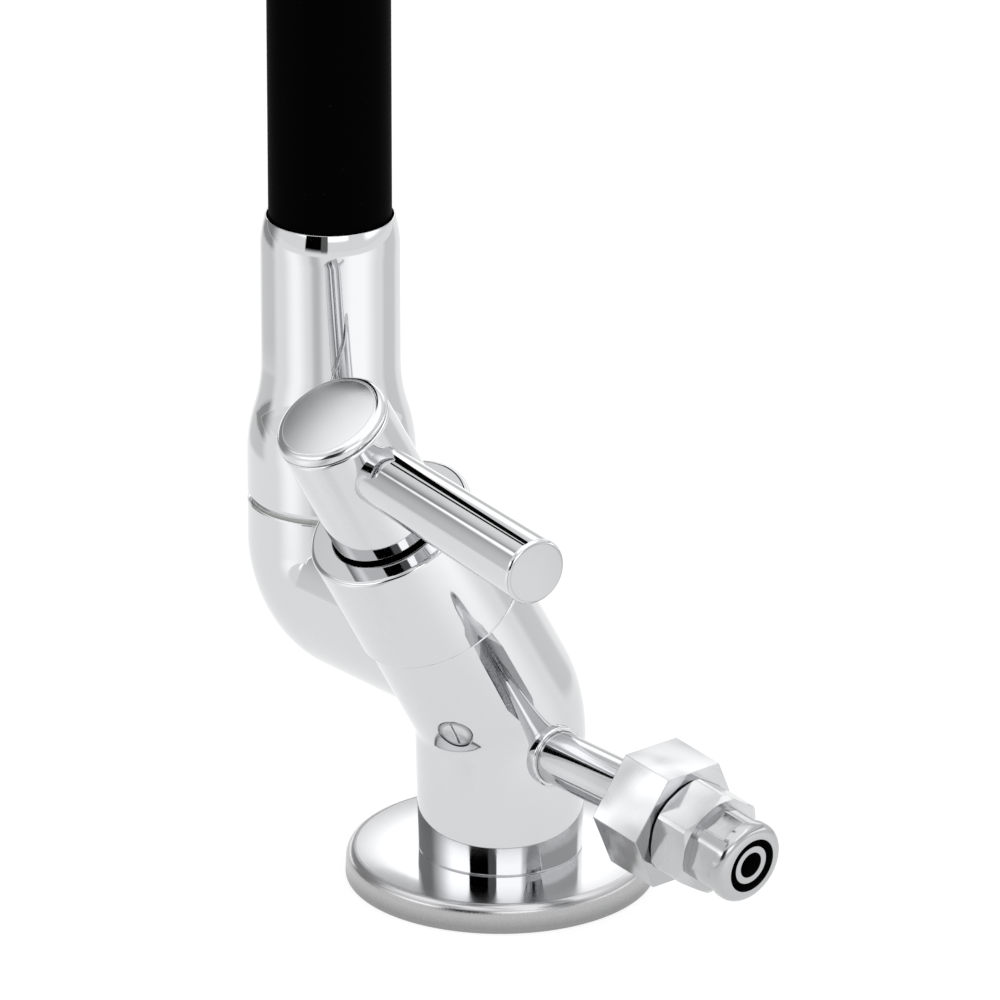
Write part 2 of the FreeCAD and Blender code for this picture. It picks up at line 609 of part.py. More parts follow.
def plug_screw():
    """The slotted screw that closes a drilling in the neck, sunk a little below the surface."""
    head = PLUG_HEAD
    points = [
        (ZERO, PLUG_END),
        (s.plug_rad - 0.4, PLUG_END),
        (s.plug_rad, PLUG_END + 0.4),
        (s.plug_rad, head - 0.5),
        (s.plug_rad - 0.5, head),
        (ZERO, head),
    ]
    frame = NECK_FRAME + (shift(0, 0, s.plug_at), turn("Z", s.plug_turn), turn("Y", 90), turn("Z", 97))
    body = turned("plug_screw", points, frame=frame)
    sketch = new_sketch(body, "plug_slot_outline", "XZ_Plane")
    half = s.plug_slot_wide / 2
    floor = head - s.plug_slot_deep
    outline(sketch, [(-half, floor), (half, floor), (half, head + 1), (-half, head + 1)])
    through_cut(body, sketch, "plug_slot")
    return body


def valve_housing():
    """The turned sleeve over the headpart: a plain tube with an end wall and a round mouth."""
    bore, lip = HOUSING_BORE, s.rim_end - s.housing_lip
    points = [
        (bore, s.neck_end),
        (s.tube_rad - s.seam_edge, s.neck_end),
        (s.tube_rad, s.neck_end + s.seam_edge),
        (s.tube_rad, s.rim_end - s.rim_edge),
        (s.tube_rad - s.rim_edge, s.rim_end),
        (HOUSING_MOUTH + 0.3, s.rim_end),
        (HOUSING_MOUTH, s.rim_end - 0.3),
        (HOUSING_MOUTH, lip),
        (bore, lip),
    ]
    return turned("valve_housing", points, {3: (s.rim_edge, -1)}, VALVE_FRAME)


def headpart_body():
    """The brass headpart: disc space and windows below, thread, flange, and a neck round the spindle."""
    bore = s.stem_rad + s.run_gap
    points = [
        (s.head_bore_rad, s.chamber_floor),
        (s.head_low_rad, s.chamber_floor),
        (s.head_low_rad, s.head_thread_from),
        (s.head_thread_rad, s.head_thread_from),
        (s.head_thread_rad, s.neck_end),
        (HEAD_FLANGE, s.neck_end),
        (HEAD_FLANGE, s.neck_end + s.head_flange_thick),
        (s.head_neck_rad, s.neck_end + s.head_flange_thick),
        (s.head_neck_rad, s.head_neck_end - 0.5),
        (s.head_neck_rad - 0.5, s.head_neck_end),
        (s.head_clip_rad, s.head_neck_end),
        (s.head_clip_rad, s.head_clip_floor),
        (bore, s.head_clip_floor),
        (bore, s.head_bore_end),
        (s.head_bore_rad, s.head_bore_end),
    ]
    body = turned("headpart_body", points, frame=VALVE_FRAME)
    sketch = new_sketch(body, "window_outline", "XZ_Plane")
    half = s.window_wide / 2
    outline(sketch, [(-half, s.window_from), (half, s.window_from), (half, s.window_to), (-half, s.window_to)])
    through_cut(body, sketch, "windows")
    return body


def headpart_oring():
    """The O-ring in the corner above the headpart's thread, against the neck's end."""
    middle = s.head_low_rad + s.washer_sect_rad
    return ring_of_rubber("headpart_oring", middle, [s.head_thread_from - s.washer_sect_rad],
                          s.washer_sect_rad, VALVE_FRAME)


def ring_of_rubber(label, middle, heights, section, frame):
    """One or more O-rings on an axis, each a full torus."""
    rings = []
    for number, height in enumerate(heights):
        name = label if len(heights) == 1 else "%s_%d" % (label, number + 1)
        rings.append(torus(name, middle, section, as_size(360), *frame, shift(0, 0, height)))
    if len(rings) == 1:
        return rings[0]
    group = doc.addObject("Part::Compound", label)
    group.Links = rings
    return group


def headpart_seal():
    """The lip seal between the chamber's floor and the fixed disc."""
    top = s.chamber_floor + s.head_seal_thick
    points = [
        (s.head_seal_in_rad, s.chamber_floor),
        (s.head_bore_rad - s.seat_gap, s.chamber_floor),
        (s.head_bore_rad - s.seat_gap, top),
        (s.head_seal_in_rad, top),
    ]
    return turned("headpart_seal", points, frame=VALVE_FRAME)


def ceramic_disc(label, low, high, frame):
    """A lapped ceramic disc with two round ports."""
    body = turned(label, [(ZERO, low), (s.ceramic_rad, low), (s.ceramic_rad, high), (ZERO, high)], frame=frame)
    sketch = new_sketch(body, label + "_ports", "XY_Plane")
    circles(sketch, [(s.port_off, ZERO), (-s.port_off, ZERO)], s.port_rad)
    through_cut(body, sketch, label + "_port_cut")
    return body


def spindle():
    """The spindle: drive flange, stem with grooves for two O-rings and a clip, and the serrated top."""
    low = moving_disc_top()
    groove = s.stem_rad - 2 * s.ring_sect_rad
    half = s.ring_sect_rad + 0.15
    clip_low, clip_high = clip_levels()
    clip_rad = s.stem_rad - 0.7
    points = [
        (ZERO, low),
        (s.stem_drive_rad, low),
        (s.stem_drive_rad, s.head_bore_end - 0.2),
        (s.stem_rad, s.head_bore_end - 0.2),
        (s.stem_rad, s.ring_a_at - half),
        (groove, s.ring_a_at - half),
        (groove, s.ring_a_at + half),
        (s.stem_rad, s.ring_a_at + half),
        (s.stem_rad, s.ring_b_at - half),
        (groove, s.ring_b_at - half),
        (groove, s.ring_b_at + half),
        (s.stem_rad, s.ring_b_at + half),
        (s.stem_rad, clip_low),
        (clip_rad, clip_low),
        (clip_rad, clip_high),
        (s.stem_rad, clip_high),
        (s.stem_rad, s.hub_from - 0.2),
        (s.stem_top_rad, s.hub_from - 0.2),
        (s.stem_top_rad, s.stem_top - 0.4),
        (s.stem_top_rad - 0.4, s.stem_top),
        (s.stem_tap_rad, s.stem_top),
        (s.stem_tap_rad, s.hub_from),
        (ZERO, s.hub_from),
    ]
    return turned("spindle", points, frame=HANDLE_FRAME)


def moving_disc_top():
    """Height of the turning disc's upper face, where the spindle drives it."""
    return fixed_disc_top() + s.run_gap + s.disc_b_thick


def fixed_disc_top():
    return s.chamber_floor + s.head_seal_thick + s.disc_a_thick


def clip_levels():
    """Lower and upper face of the spindle's clip, just above the clip recess's floor."""
    low = s.head_clip_floor + s.run_gap
    return low, low + s.clip_thick


def clip(label, inner, outer, low, high, frame):
    """A round retaining clip with a gap in one side."""
    body = turned(label, [(inner, low), (outer, low), (outer, high), (inner, high)], frame=frame)
    sketch = new_sketch(body, label + "_gap_outline", "XZ_Plane")
    half = as_size(1.2)
    outline(sketch, [(-half, low - 1), (half, low - 1), (half, high + 1), (-half, high + 1)])
    gap = body.newObject("PartDesign::Pocket", label + "_gap")
    gap.Profile = sketch
    gap.Type = 1
    body.Tip = gap
    return body


def spindle_clip():
    low, high = clip_levels()
    return clip("spindle_clip", s.stem_rad - 0.7, s.head_clip_rad - 0.4, low, high, HANDLE_FRAME)


def handle_hub():
    """The handle's barrel: full radius above a slimmer neck that stands in the housing's mouth."""
    points = [
        (s.stem_top_rad + s.seat_gap, s.hub_from),
        (HUB_NECK - 0.3, s.hub_from),
        (HUB_NECK, s.hub_from + 0.3),
        (HUB_NECK, s.hub_step),
        (HUB_RAD - 0.35, s.hub_step),
        (HUB_RAD, s.hub_step + 0.35),
        (HUB_RAD, s.hub_end - 0.25),
        (HUB_RAD - 0.25, s.hub_end),
        (CAP_SEAT, s.hub_end),
        (CAP_SEAT, s.cap_seat_from),
        (s.hub_well_rad, s.cap_seat_from),
        (s.hub_well_rad, s.hub_web_to),
        (s.stem_tap_rad + 0.4, s.hub_web_to),
        (s.stem_tap_rad + 0.4, s.hub_web_from),
        (s.stem_top_rad + s.seat_gap, s.hub_web_from),
    ]
    barrel = turned("hub_barrel", points, {4: (as_size(0.35), -1), 6: (as_size(0.25), -1)})
    socket = cylinder("lever_socket", s.lever_root_rad, HUB_RAD,
                      shift(0, s.lever_tenon_from, s.lever_at), turn("X", -90))
    hub = cut("handle_hub", barrel, socket)
    place(hub, *HANDLE_FRAME)
    return hub


def lever_bar():
    """The round bar lever: a tenon in the hub, then a slight taper that grows towards the end."""
    tenon = s.lever_root_rad - s.seat_gap
    points = [
        (ZERO, s.lever_tenon_from),
        (tenon, s.lever_tenon_from),
        (tenon, HUB_RAD - 1.2),
        (s.lever_end_rad, s.lever_reach - s.lever_edge),
        (s.lever_end_rad - s.lever_edge, s.lever_reach),
        (ZERO, s.lever_reach),
    ]
    frame = HANDLE_FRAME + (shift(0, 0, s.lever_at), turn("X", -90))
    return turned("lever_bar", points, {3: (s.lever_edge * 1.2, -1)}, frame)


def handle_cap():
    """The cap that hides the handle screw: a plug, a short rim and a shallow dome."""
    rim_low = s.hub_end + s.cap_groove
    rim_top = rim_low + s.cap_rim_tall
    dome_rad = HUB_RAD - s.cap_edge
    ball = (dome_rad * dome_rad + s.cap_dome_tall * s.cap_dome_tall) / (s.cap_dome_tall * 2)
    plug = CAP_SEAT - s.seat_gap
    groove = HUB_RAD - 0.7
    points = [
        (ZERO, s.cap_seat_from),
        (plug, s.cap_seat_from),
        (plug, s.hub_end),
        (groove, s.hub_end),
        (groove, rim_low),
        (HUB_RAD, rim_low),
        (HUB_RAD, rim_top - s.cap_edge),
        (dome_rad, rim_top),
        (ZERO, rim_top + s.cap_dome_tall),
    ]
    return turned("handle_cap", points, {6: (s.cap_edge, -1), 7: (ball, -1)}, HANDLE_FRAME)


def handle_screw():
    """The screw that holds the hub on the spindle, with a slot in its head."""
    head = s.hub_well_rad - 0.6
    top = s.hub_web_to + 2.6
    shank = s.stem_tap_rad - s.seat_gap
    points = [
        (ZERO, s.hub_from + 2),
        (shank, s.hub_from + 2),
        (shank, s.hub_web_to),
        (head, s.hub_web_to),
        (head, top - 0.4),
        (head - 0.4, top),
        (ZERO, top),
    ]
    body = turned("handle_screw", points, frame=HANDLE_FRAME)
    sketch = new_sketch(body, "handle_screw_slot_outline", "XZ_Plane")
    half = as_size(0.5)
    outline(sketch, [(-half, top - 1.2), (half, top - 1.2), (half, top + 1), (-half, top + 1)])
    through_cut(body, sketch, "handle_screw_slot")
    return body


def inlet_pipe():
    """The chromed supply pipe: straight out of the body, then a slight droop into the socket nut."""
    return swept_ring("inlet_pipe", s.stub_rad, s.stub_bore_rad, PIPE_STRAIGHT, s.stub_bend_rad,
                      s.stub_droop, s.stub_end_len, PIPE_FRAME)


def pipe_collar():
    """The collar round the pipe's root, half sunk in the body."""
    frame = (shift(0, 0, s.stub_tall), turn("X", -90))
    inner = s.stub_rad + s.seat_gap
    points = [
        (inner, s.stub_ring_from),
        (s.stub_ring_rad, s.stub_ring_from),
        (s.stub_ring_rad, s.stub_ring_to - 0.5),
        (s.stub_ring_rad - 0.5, s.stub_ring_to),
        (inner, s.stub_ring_to),
    ]
    return turned("pipe_collar", points, {2: (as_size(0.5), -1)}, frame)


def nut_a_start():
    """Where the socket nut begins in the fitting frame: the pipe's droop ends just inside it."""
    return s.stub_end_len - s.nut_a_pipe_end


def socket_nut():
    """The large hexagon: a pipe socket at one end and a threaded bore at the other."""
    start = nut_a_start()
    body = new_body("socket_nut", *FITTING_FRAME, shift(0, 0, start))
    sketch = new_sketch(body, "socket_nut_hexagon", "XY_Plane")
    outline(sketch, ring_of(s.nut_a_flats / 2 / cosine(as_size(30)), 6, s.nut_a_turn))
    pad = body.newObject("PartDesign::Pad", "socket_nut_block")
    pad.Profile = sketch
    bind(pad, "Length", s.nut_a_len)
    bore = new_sketch(body, "socket_nut_bore_profile", "XZ_Plane")
    pipe = s.stub_rad + s.seat_gap
    outline(bore, [
        (ZERO, as_size(-1)),
        (pipe, as_size(-1)),
        (pipe, s.nut_a_pipe_end),
        (s.stub_bore_rad, s.nut_a_pipe_end),
        (s.stub_bore_rad, s.nut_a_pipe_end + 0.8),
        (s.nut_a_thread_rad, s.nut_a_pipe_end + 0.8),
        (s.nut_a_thread_rad, s.nut_a_len + 1),
        (ZERO, s.nut_a_len + 1),
    ])
    groove = body.newObject("PartDesign::Groove", "socket_nut_bore")
    groove.Profile = bore
    groove.ReferenceAxis = (bore, ["V_Axis"])
    groove.Angle = 360
    body.Tip = groove
    return body


def fitting_seal():
    """The black sealing ring between the socket nut and the fitting."""
    low = nut_a_start() + s.nut_a_len
    inner = s.fit_thread_rad + s.seat_gap
    points = [
        (inner, low),
        (s.seal_rad, low),
        (s.seal_rad, low + s.seal_thick),
        (inner, low + s.seal_thick),
    ]
    return turned("fitting_seal", points, {1: (s.seal_thick * 0.62, -1)}, FITTING_FRAME)


def inlet_fitting():
    """The screwed fitting: thread, hexagon with turned corners, outer thread and the hose spigot."""
    hex_low = nut_a_start() + s.nut_a_len + s.seal_thick
    body = new_body("inlet_fitting", *FITTING_FRAME, shift(0, 0, hex_low))
    sketch = new_sketch(body, "fitting_hexagon", "XY_Plane")
    outline(sketch, ring_of(s.nut_b_flats / 2 / cosine(as_size(30)), 6, s.nut_b_turn))
    pad = body.newObject("PartDesign::Pad", "fitting_block")
    pad.Profile = sketch
    bind(pad, "Length", s.nut_b_len)
    # The lathe rounds the corners at both ends of the hexagon.
    skim = new_sketch(body, "fitting_skim_profile", "XZ_Plane")
    far = s.nut_b_flats
    cone = as_size(1.1)
    outline(skim, [(s.nut_b_corner_rad - cone, as_size(-1)), (far, as_size(-1)), (far, s.nut_b_len + 1),
                   (s.nut_b_corner_rad - cone, s.nut_b_len + 1), (s.nut_b_corner_rad - cone, s.nut_b_len),
                   (s.nut_b_corner_rad, s.nut_b_len - cone * 0.6), (s.nut_b_corner_rad, cone * 0.6),
                   (s.nut_b_corner_rad - cone, ZERO)])
    groove = body.newObject("PartDesign::Groove", "fitting_skim")
    groove.Profile = skim
    groove.ReferenceAxis = (skim, ["V_Axis"])
    groove.Angle = 360
    ends = new_sketch(body, "fitting_ends_profile", "XZ_Plane")
    tip = s.nut_b_len + s.union_len - 0.3
    shoulder = s.union_rad - 2.2
    outline(ends, [
        (s.spigot_bore_rad, -s.fit_thread_len),
        (s.fit_thread_rad - 0.4, -s.fit_thread_len),
        (s.fit_thread_rad, 0.4 - s.fit_thread_len),
        (s.fit_thread_rad, as_size(0.5)),
        (shoulder, as_size(0.5)),
        (shoulder, s.nut_b_len + s.union_flat_len - 2.0),
        (s.spigot_tip_rad, s.nut_b_len + s.union_flat_len - 1.2),
        (s.spigot_tip_rad, tip),
        (s.spigot_bore_rad, tip),
    ])
    turned_ends = body.newObject("PartDesign::Revolution", "fitting_ends")
    turned_ends.Profile = ends
    turned_ends.ReferenceAxis = (ends, ["V_Axis"])
    turned_ends.Angle = 360
    bore = new_sketch(body, "fitting_bore_outline", "XY_Plane")
    circles(bore, [(ZERO, ZERO)], s.spigot_bore_rad)
    through_cut(body, bore, "fitting_bore")
    return body


def union_nut():
    """The union nut: a turned shell with six short flats that stop before its rounded nose."""
    low = nut_a_start() + s.nut_a_len + s.seal_thick + s.nut_b_len
    inner = s.union_rad - 2.2 + s.seat_gap
    face = s.union_len
    body = new_body("union_nut", *FITTING_FRAME, shift(0, 0, low))
    sketch = new_sketch(body, "union_profile", "XZ_Plane")
    throat = s.union_flat_len - 0.6
    outline(sketch, [
        (inner, ZERO),
        (s.union_rad, ZERO),
        (s.union_rad, face - s.union_nose_rad),
        (s.union_rad - s.union_nose_rad, face),
        (s.union_mouth_rad, face),
        (s.union_mouth_rad, throat + 0.4),
        (inner, throat),
    ], {2: (s.union_nose_rad, -1)})
    shell = body.newObject("PartDesign::Revolution", "union_shell")
    shell.Profile = sketch
    shell.ReferenceAxis = (sketch, ["V_Axis"])
    shell.Angle = 360
    flat = new_sketch(body, "union_flat_outline", "XZ_Plane")
    reach = s.union_rad + 1
    outline(flat, [(s.union_flats / 2, as_size(-1)), (reach, as_size(-1)),
                   (reach, s.union_flat_len), (s.union_flats / 2, s.union_flat_len)])
    milled = body.newObject("PartDesign::Pocket", "union_flat")
    milled.Profile = flat
    milled.Type = 1
    milled.Midplane = True
    pattern = body.newObject("PartDesign::PolarPattern", "union_flats")
    pattern.Originals = [milled]
    pattern.Axis = (sketch, ["V_Axis"])
    pattern.Angle = 360
    pattern.Occurrences = 6
    body.Tip = pattern
    place(body, *FITTING_FRAME, shift(0, 0, low), turn("Z", s.union_turn))
    return body


def swivel_nipple():
    """The brass nipple in the elbow that the column turns on, with two O-ring grooves and a clip groove."""
    groove = s.nipple_rad - 2 * s.swivel_ring_sect
    half = s.swivel_ring_sect + 0.2
    clip_low, clip_high = nipple_clip_levels()
    points = [(NIPPLE_BORE, NIPPLE_LOW), (s.nipple_rad, NIPPLE_LOW)]
    for level in SWIVEL_RINGS:
        points += [(s.nipple_rad, level - half), (groove, level - half),
                   (groove, level + half), (s.nipple_rad, level + half)]
    points += [
        (s.nipple_rad, clip_low),
        (s.nipple_rad - 0.9, clip_low),
        (s.nipple_rad - 0.9, clip_high),
        (s.nipple_rad, clip_high),
        (s.nipple_rad, NIPPLE_TOP),
        (NIPPLE_BORE, NIPPLE_TOP),
    ]
    return turned("swivel_nipple", points, frame=COLUMN_FRAME)


def nipple_clip_levels():
    low = COLUMN_SHELF + s.run_gap
    return low, low + s.clip_thick


def nipple_clip():
    low, high = nipple_clip_levels()
    return clip("nipple_clip", s.nipple_rad - 0.9, s.column_well_rad - 0.3, low, high, COLUMN_FRAME)


def swivel_orings():
    middle = s.nipple_rad - s.swivel_ring_sect
    return ring_of_rubber("swivel_orings", middle, SWIVEL_RINGS,
                          s.swivel_ring_sect, COLUMN_FRAME)


def glide_ring():
    """The plastic ring in the swivel joint that the column slides on."""
    points = [
        (GLIDE_IN, SEAM_TALL),
        (GLIDE_OUT, SEAM_TALL),
        (GLIDE_OUT, SEAM_TALL + s.glide_thick),
        (GLIDE_IN, SEAM_TALL + s.glide_thick),
    ]
    return turned("glide_ring", points, frame=COLUMN_FRAME)


def flare_arc():
    """Radius of each of the two equal arcs of the flare, from its height and its change of radius."""
    rise = (FLARE_TO - FLARE_FROM) / 2
    narrow = (s.column_rad - COLLAR_RAD) / 2
    return (rise * rise + narrow * narrow) / (narrow * 2)


def spout_column():
    """The column: a rounded foot on the swivel joint, an S-curved flare and the straight collar."""
    low = SEAM_TALL + s.glide_thick + s.run_gap
    middle_tall = (FLARE_FROM + FLARE_TO) / 2
    middle_rad = (s.column_rad + COLLAR_RAD) / 2
    bore = s.nipple_rad + s.run_gap
    points = [
        (bore, low),
        (s.column_rad - s.column_edge * 0.5, low),
        (s.column_rad, low + s.column_edge),
        (s.column_rad, FLARE_FROM),
        (middle_rad, middle_tall),
        (COLLAR_RAD, FLARE_TO),
        (COLLAR_RAD, COLLAR_TOP - 0.3),
        (COLLAR_RAD - 0.3, COLLAR_TOP),
        (MOUTH_RAD + 0.3, COLLAR_TOP),
        (MOUTH_RAD, COLLAR_TOP - 0.3),
        (MOUTH_RAD, MOUTH_FLOOR),
        (s.column_well_rad, MOUTH_FLOOR),
        (s.column_well_rad, COLUMN_SHELF),
        (bore, COLUMN_SHELF),
    ]
    bow = flare_arc()
    return turned("spout_column", points, {3: (bow, -1), 4: (bow, 1)}, COLUMN_FRAME)


HOSE_START = MOUTH_FLOOR + s.seat_gap
HOSE_STRAIGHT = s.hose_arch_tall - HOSE_START
HOSE_END_TALL = s.hose_arch_tall - s.hose_drop
HOSE_FRAME = (shift(0, -s.column_off, HOSE_START),)
OUTLET_FRAME = (shift(0, -s.column_off - s.hose_arch_rad * 2, HOSE_END_TALL), turn("X", 180))


def hose_tube(label, outer, wall, short=ZERO):
    """One of the hose's layers, from the column over the arch to the outlet, cut short at both ends."""
    return swept_ring(label, outer, outer - wall, HOSE_STRAIGHT - short, s.hose_arch_rad, as_size(180),
                      s.hose_drop - short, HOSE_FRAME + (shift(0, 0, short),))


def lower_hose_tail():
    """The brass tail in the column's well: it carries the core and feeds the water tube."""
    top = MOUTH_FLOOR
    neck = top + s.seat_gap + s.tail_neck_len
    points = [
        (s.tail_bore_rad, NIPPLE_TOP + 0.4),
        (s.column_well_rad - s.seat_gap, NIPPLE_TOP + 0.4),
        (s.column_well_rad - s.seat_gap, top),
        (s.tail_neck_rad, top),
        (s.tail_neck_rad, neck),
        (s.tail_tip_rad, neck),
        (s.tail_tip_rad, neck + s.tail_tip_len),
        (s.tail_bore_rad, neck + s.tail_tip_len),
    ]
    return turned("lower_hose_tail", points, frame=COLUMN_FRAME)


def upper_hose_tail():
    """The tail at the outlet end, the lower tail's twin, held by the outlet sleeve."""
    inner_end = s.outlet_len - s.outlet_grip - s.aerator_deep
    points = [
        (s.tail_bore_rad, -s.tail_neck_len - s.tail_tip_len),
        (s.tail_tip_rad, -s.tail_neck_len - s.tail_tip_len),
        (s.tail_tip_rad, -s.tail_neck_len),
        (s.tail_neck_rad, -s.tail_neck_len),
        (s.tail_neck_rad, ZERO),
        (s.aerator_rad - 1.0, ZERO),
        (s.aerator_rad - 1.0, inner_end),
        (s.tail_bore_rad, inner_end),
    ]
    return turned("upper_hose_tail", points, frame=OUTLET_FRAME)


def outlet_sleeve():
    """The chromed sleeve on the hose's end: the same mouth as the column's, tapering to the aerator."""
    low = s.outlet_len - s.outlet_grip
    step = s.aerator_rad - 1.0 + s.seat_gap
    seat = low - s.aerator_deep
    points = [
        (MOUTH_RAD, 0.3 - s.outlet_grip),
        (MOUTH_RAD + 0.3, -s.outlet_grip),
        (COLLAR_RAD - 0.3, -s.outlet_grip),
        (COLLAR_RAD, 0.3 - s.outlet_grip),
        (COLLAR_RAD, as_size(-2)),
        (s.outlet_end_rad, low - 0.6),
        (s.outlet_end_rad - 0.6, low),
        (s.aerator_rad + s.seat_gap, low),
        (s.aerator_rad + s.seat_gap, seat),
        (step, seat),
        (step, ZERO),
        (MOUTH_RAD, ZERO),
    ]
    return turned("outlet_sleeve", points, {5: (as_size(0.62), -1)}, OUTLET_FRAME)


def aerator_shell():
    """The ring that screws into the sleeve and holds the insert."""
    low = s.outlet_len - s.outlet_grip
    seat = low - s.aerator_deep + 0.9
    end = low + s.aerator_show
    inner = s.aerator_rad - s.aerator_wall
    points = [
        (inner, seat),
        (s.aerator_rad, seat),
        (s.aerator_rad, end - 0.5),
        (s.aerator_rad - 0.5, end),
        (inner - 0.8, end),
        (inner - 0.8, end - 1.0),
        (inner, end - 1.0),
    ]
    return turned("aerator_shell", points, {2: (as_size(0.5), -1)}, OUTLET_FRAME)


def aerator_insert():
    """The plastic insert: a dished plate with a ring of jets and one in the middle."""
    low = s.outlet_len - s.outlet_grip
    inner = s.aerator_rad - s.aerator_wall - s.seat_gap
    face = low + s.aerator_show - 1.0
    points = [
        (ZERO, face - 2.4),
        (inner - 1.4, face - 2.4),
        (inner - 1.4, low - s.aerator_deep + 0.9),
        (inner, low - s.aerator_deep + 0.9),
        (inner, face),
        (ZERO, face),
    ]
    body = turned("aerator_insert", points, frame=OUTLET_FRAME)
    sketch = new_sketch(body, "jet_outline", "XY_Plane")
    jets = [(ZERO, ZERO)] + ring_of(s.jet_circle_rad, 8, ZERO)
    circles(sketch, jets, s.jet_rad)
    through_cut(body, sketch, "jets")
    return body


def aerator_seal():
    """The flat rubber washer above the aerator."""
    low = s.outlet_len - s.outlet_grip - s.aerator_deep
    points = [
        (s.aerator_rad - s.washer_wide, low),
        (s.aerator_rad - s.seat_gap, low),
        (s.aerator_rad - s.seat_gap, low + 0.9),
        (s.aerator_rad - s.washer_wide, low + 0.9),
    ]
    return turned("aerator_seal", points, frame=OUTLET_FRAME)


fixed_top = fixed_disc_top()
NODES = [
    base_disc(),
    base_gasket(),
    tap_body(),
    plug_screw(),
    valve_housing(),
    headpart_body(),
    headpart_oring(),
    headpart_seal(),
    ceramic_disc("fixed_ceramic_disc", s.chamber_floor + s.head_seal_thick, fixed_top, VALVE_FRAME),
    ceramic_disc("moving_ceramic_disc", fixed_top + s.run_gap, moving_disc_top(), HANDLE_FRAME),
    spindle(),
    ring_of_rubber("spindle_orings", s.stem_rad - s.ring_sect_rad, [s.ring_a_at, s.ring_b_at],
                   s.ring_sect_rad, HANDLE_FRAME),
    spindle_clip(),
    handle_hub(),
    lever_bar(),
    handle_cap(),
    handle_screw(),
    inlet_pipe(),
    pipe_collar(),
    socket_nut(),
    fitting_seal(),
    inlet_fitting(),
    union_nut(),
    swivel_nipple(),
    nipple_clip(),
    swivel_orings(),
    glide_ring(),
    spout_column(),
    lower_hose_tail(),
    hose_tube("hose_sleeve", s.hose_rad, s.hose_wall),
    hose_tube("gooseneck_core", COIL_RAD, s.coil_wall),
    hose_tube("water_tube", s.water_rad, s.water_wall, s.tail_neck_len + s.seat_gap),
    upper_hose_tail(),
    outlet_sleeve(),
    aerator_shell(),
    aerator_insert(),
    aerator_seal(),
]
doc.recompute()

failed = [item.Name for item in doc.Objects if "Invalid" in item.State or "Error" in item.State]
if failed:
    raise RuntimeError("these objects failed: " + ", ".join(failed))
for node in NODES:
    if node.Shape.isNull() or not node.Shape.isValid() or not node.Shape.Solids:
        raise RuntimeError("no valid solid in " + node.Name)

os.makedirs("parts", exist_ok=True)
for node in NODES:
    node.Shape.exportStep("parts/%s.step" % node.Label)
    print("%-20s solids %d volume %9.1f" % (node.Label, len(node.Shape.Solids), node.Shape.Volume))
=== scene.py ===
# %% [markdown]
# # A worktop tap with a bendable spout
#
# A kitchen tap stands on a round disc. Its cast body leans to one side and carries a handle with a bar
# lever; an elbow at its back carries the spout, a steel gooseneck under a black rubber sleeve. A supply pipe
# with a large hexagon comes out at the other side. Almost all of it is polished chrome, so nearly everything
# that the eye sees is a reflection. Flat facets would show at once, and therefore every chromed piece is made
# again here as a smooth surface worked out with numpy. Most of them get an exact normal at each point, and
# the hexagons keep flat sides with a narrow bevel between them.
#
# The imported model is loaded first. It fixes where each piece is and how it moves.

import bmesh
import bpy
import numpy as np
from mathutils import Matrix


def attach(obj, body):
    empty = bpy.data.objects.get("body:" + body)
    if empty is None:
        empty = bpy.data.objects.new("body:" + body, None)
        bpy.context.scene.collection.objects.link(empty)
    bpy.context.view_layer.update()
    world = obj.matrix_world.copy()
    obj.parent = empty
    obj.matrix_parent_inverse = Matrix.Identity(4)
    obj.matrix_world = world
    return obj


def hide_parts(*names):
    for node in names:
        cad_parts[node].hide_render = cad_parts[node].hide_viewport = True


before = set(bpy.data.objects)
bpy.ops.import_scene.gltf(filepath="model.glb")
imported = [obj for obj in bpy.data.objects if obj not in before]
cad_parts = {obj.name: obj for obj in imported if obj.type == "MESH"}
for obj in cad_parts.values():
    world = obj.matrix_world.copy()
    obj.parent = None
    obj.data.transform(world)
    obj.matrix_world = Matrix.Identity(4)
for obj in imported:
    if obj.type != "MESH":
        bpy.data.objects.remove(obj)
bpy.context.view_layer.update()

# %% [markdown]
# ## Frames
#
# The tap is described by a few axes: the foot's upright one, the valve's leaning one, the lever's, the
# column's and the pipe's. Each is a 4 by 4 matrix, a chain of moves and turns. A piece is worked out round
# its own Z axis in millimetres and then carried into the frame. That is shorter and safer than turning
# objects, because every finished object has to sit untransformed at the origin.

# %% Moves and turns
def move(x, y, z):
    """The matrix of a move by x, y and z millimetres."""
    matrix = np.eye(4)
    matrix[:3, 3] = (x, y, z)
    return matrix


def turn(axis, degrees):
    """The matrix of a turn about X, Y or Z: the other two axes mix by the angle's cosine and sine."""
    k = "XYZ".index(axis)
    i, j = (k + 1) % 3, (k + 2) % 3
    angle = np.radians(degrees)
    matrix = np.eye(4)
    matrix[i, i] = matrix[j, j] = np.cos(angle)
    matrix[i, j] = -np.sin(angle)
    matrix[j, i] = np.sin(angle)
    return matrix


def place(points, matrix):
    """Each point times the matrix's turn, plus its move."""
    return points @ matrix[:3, :3].T + matrix[:3, 3]


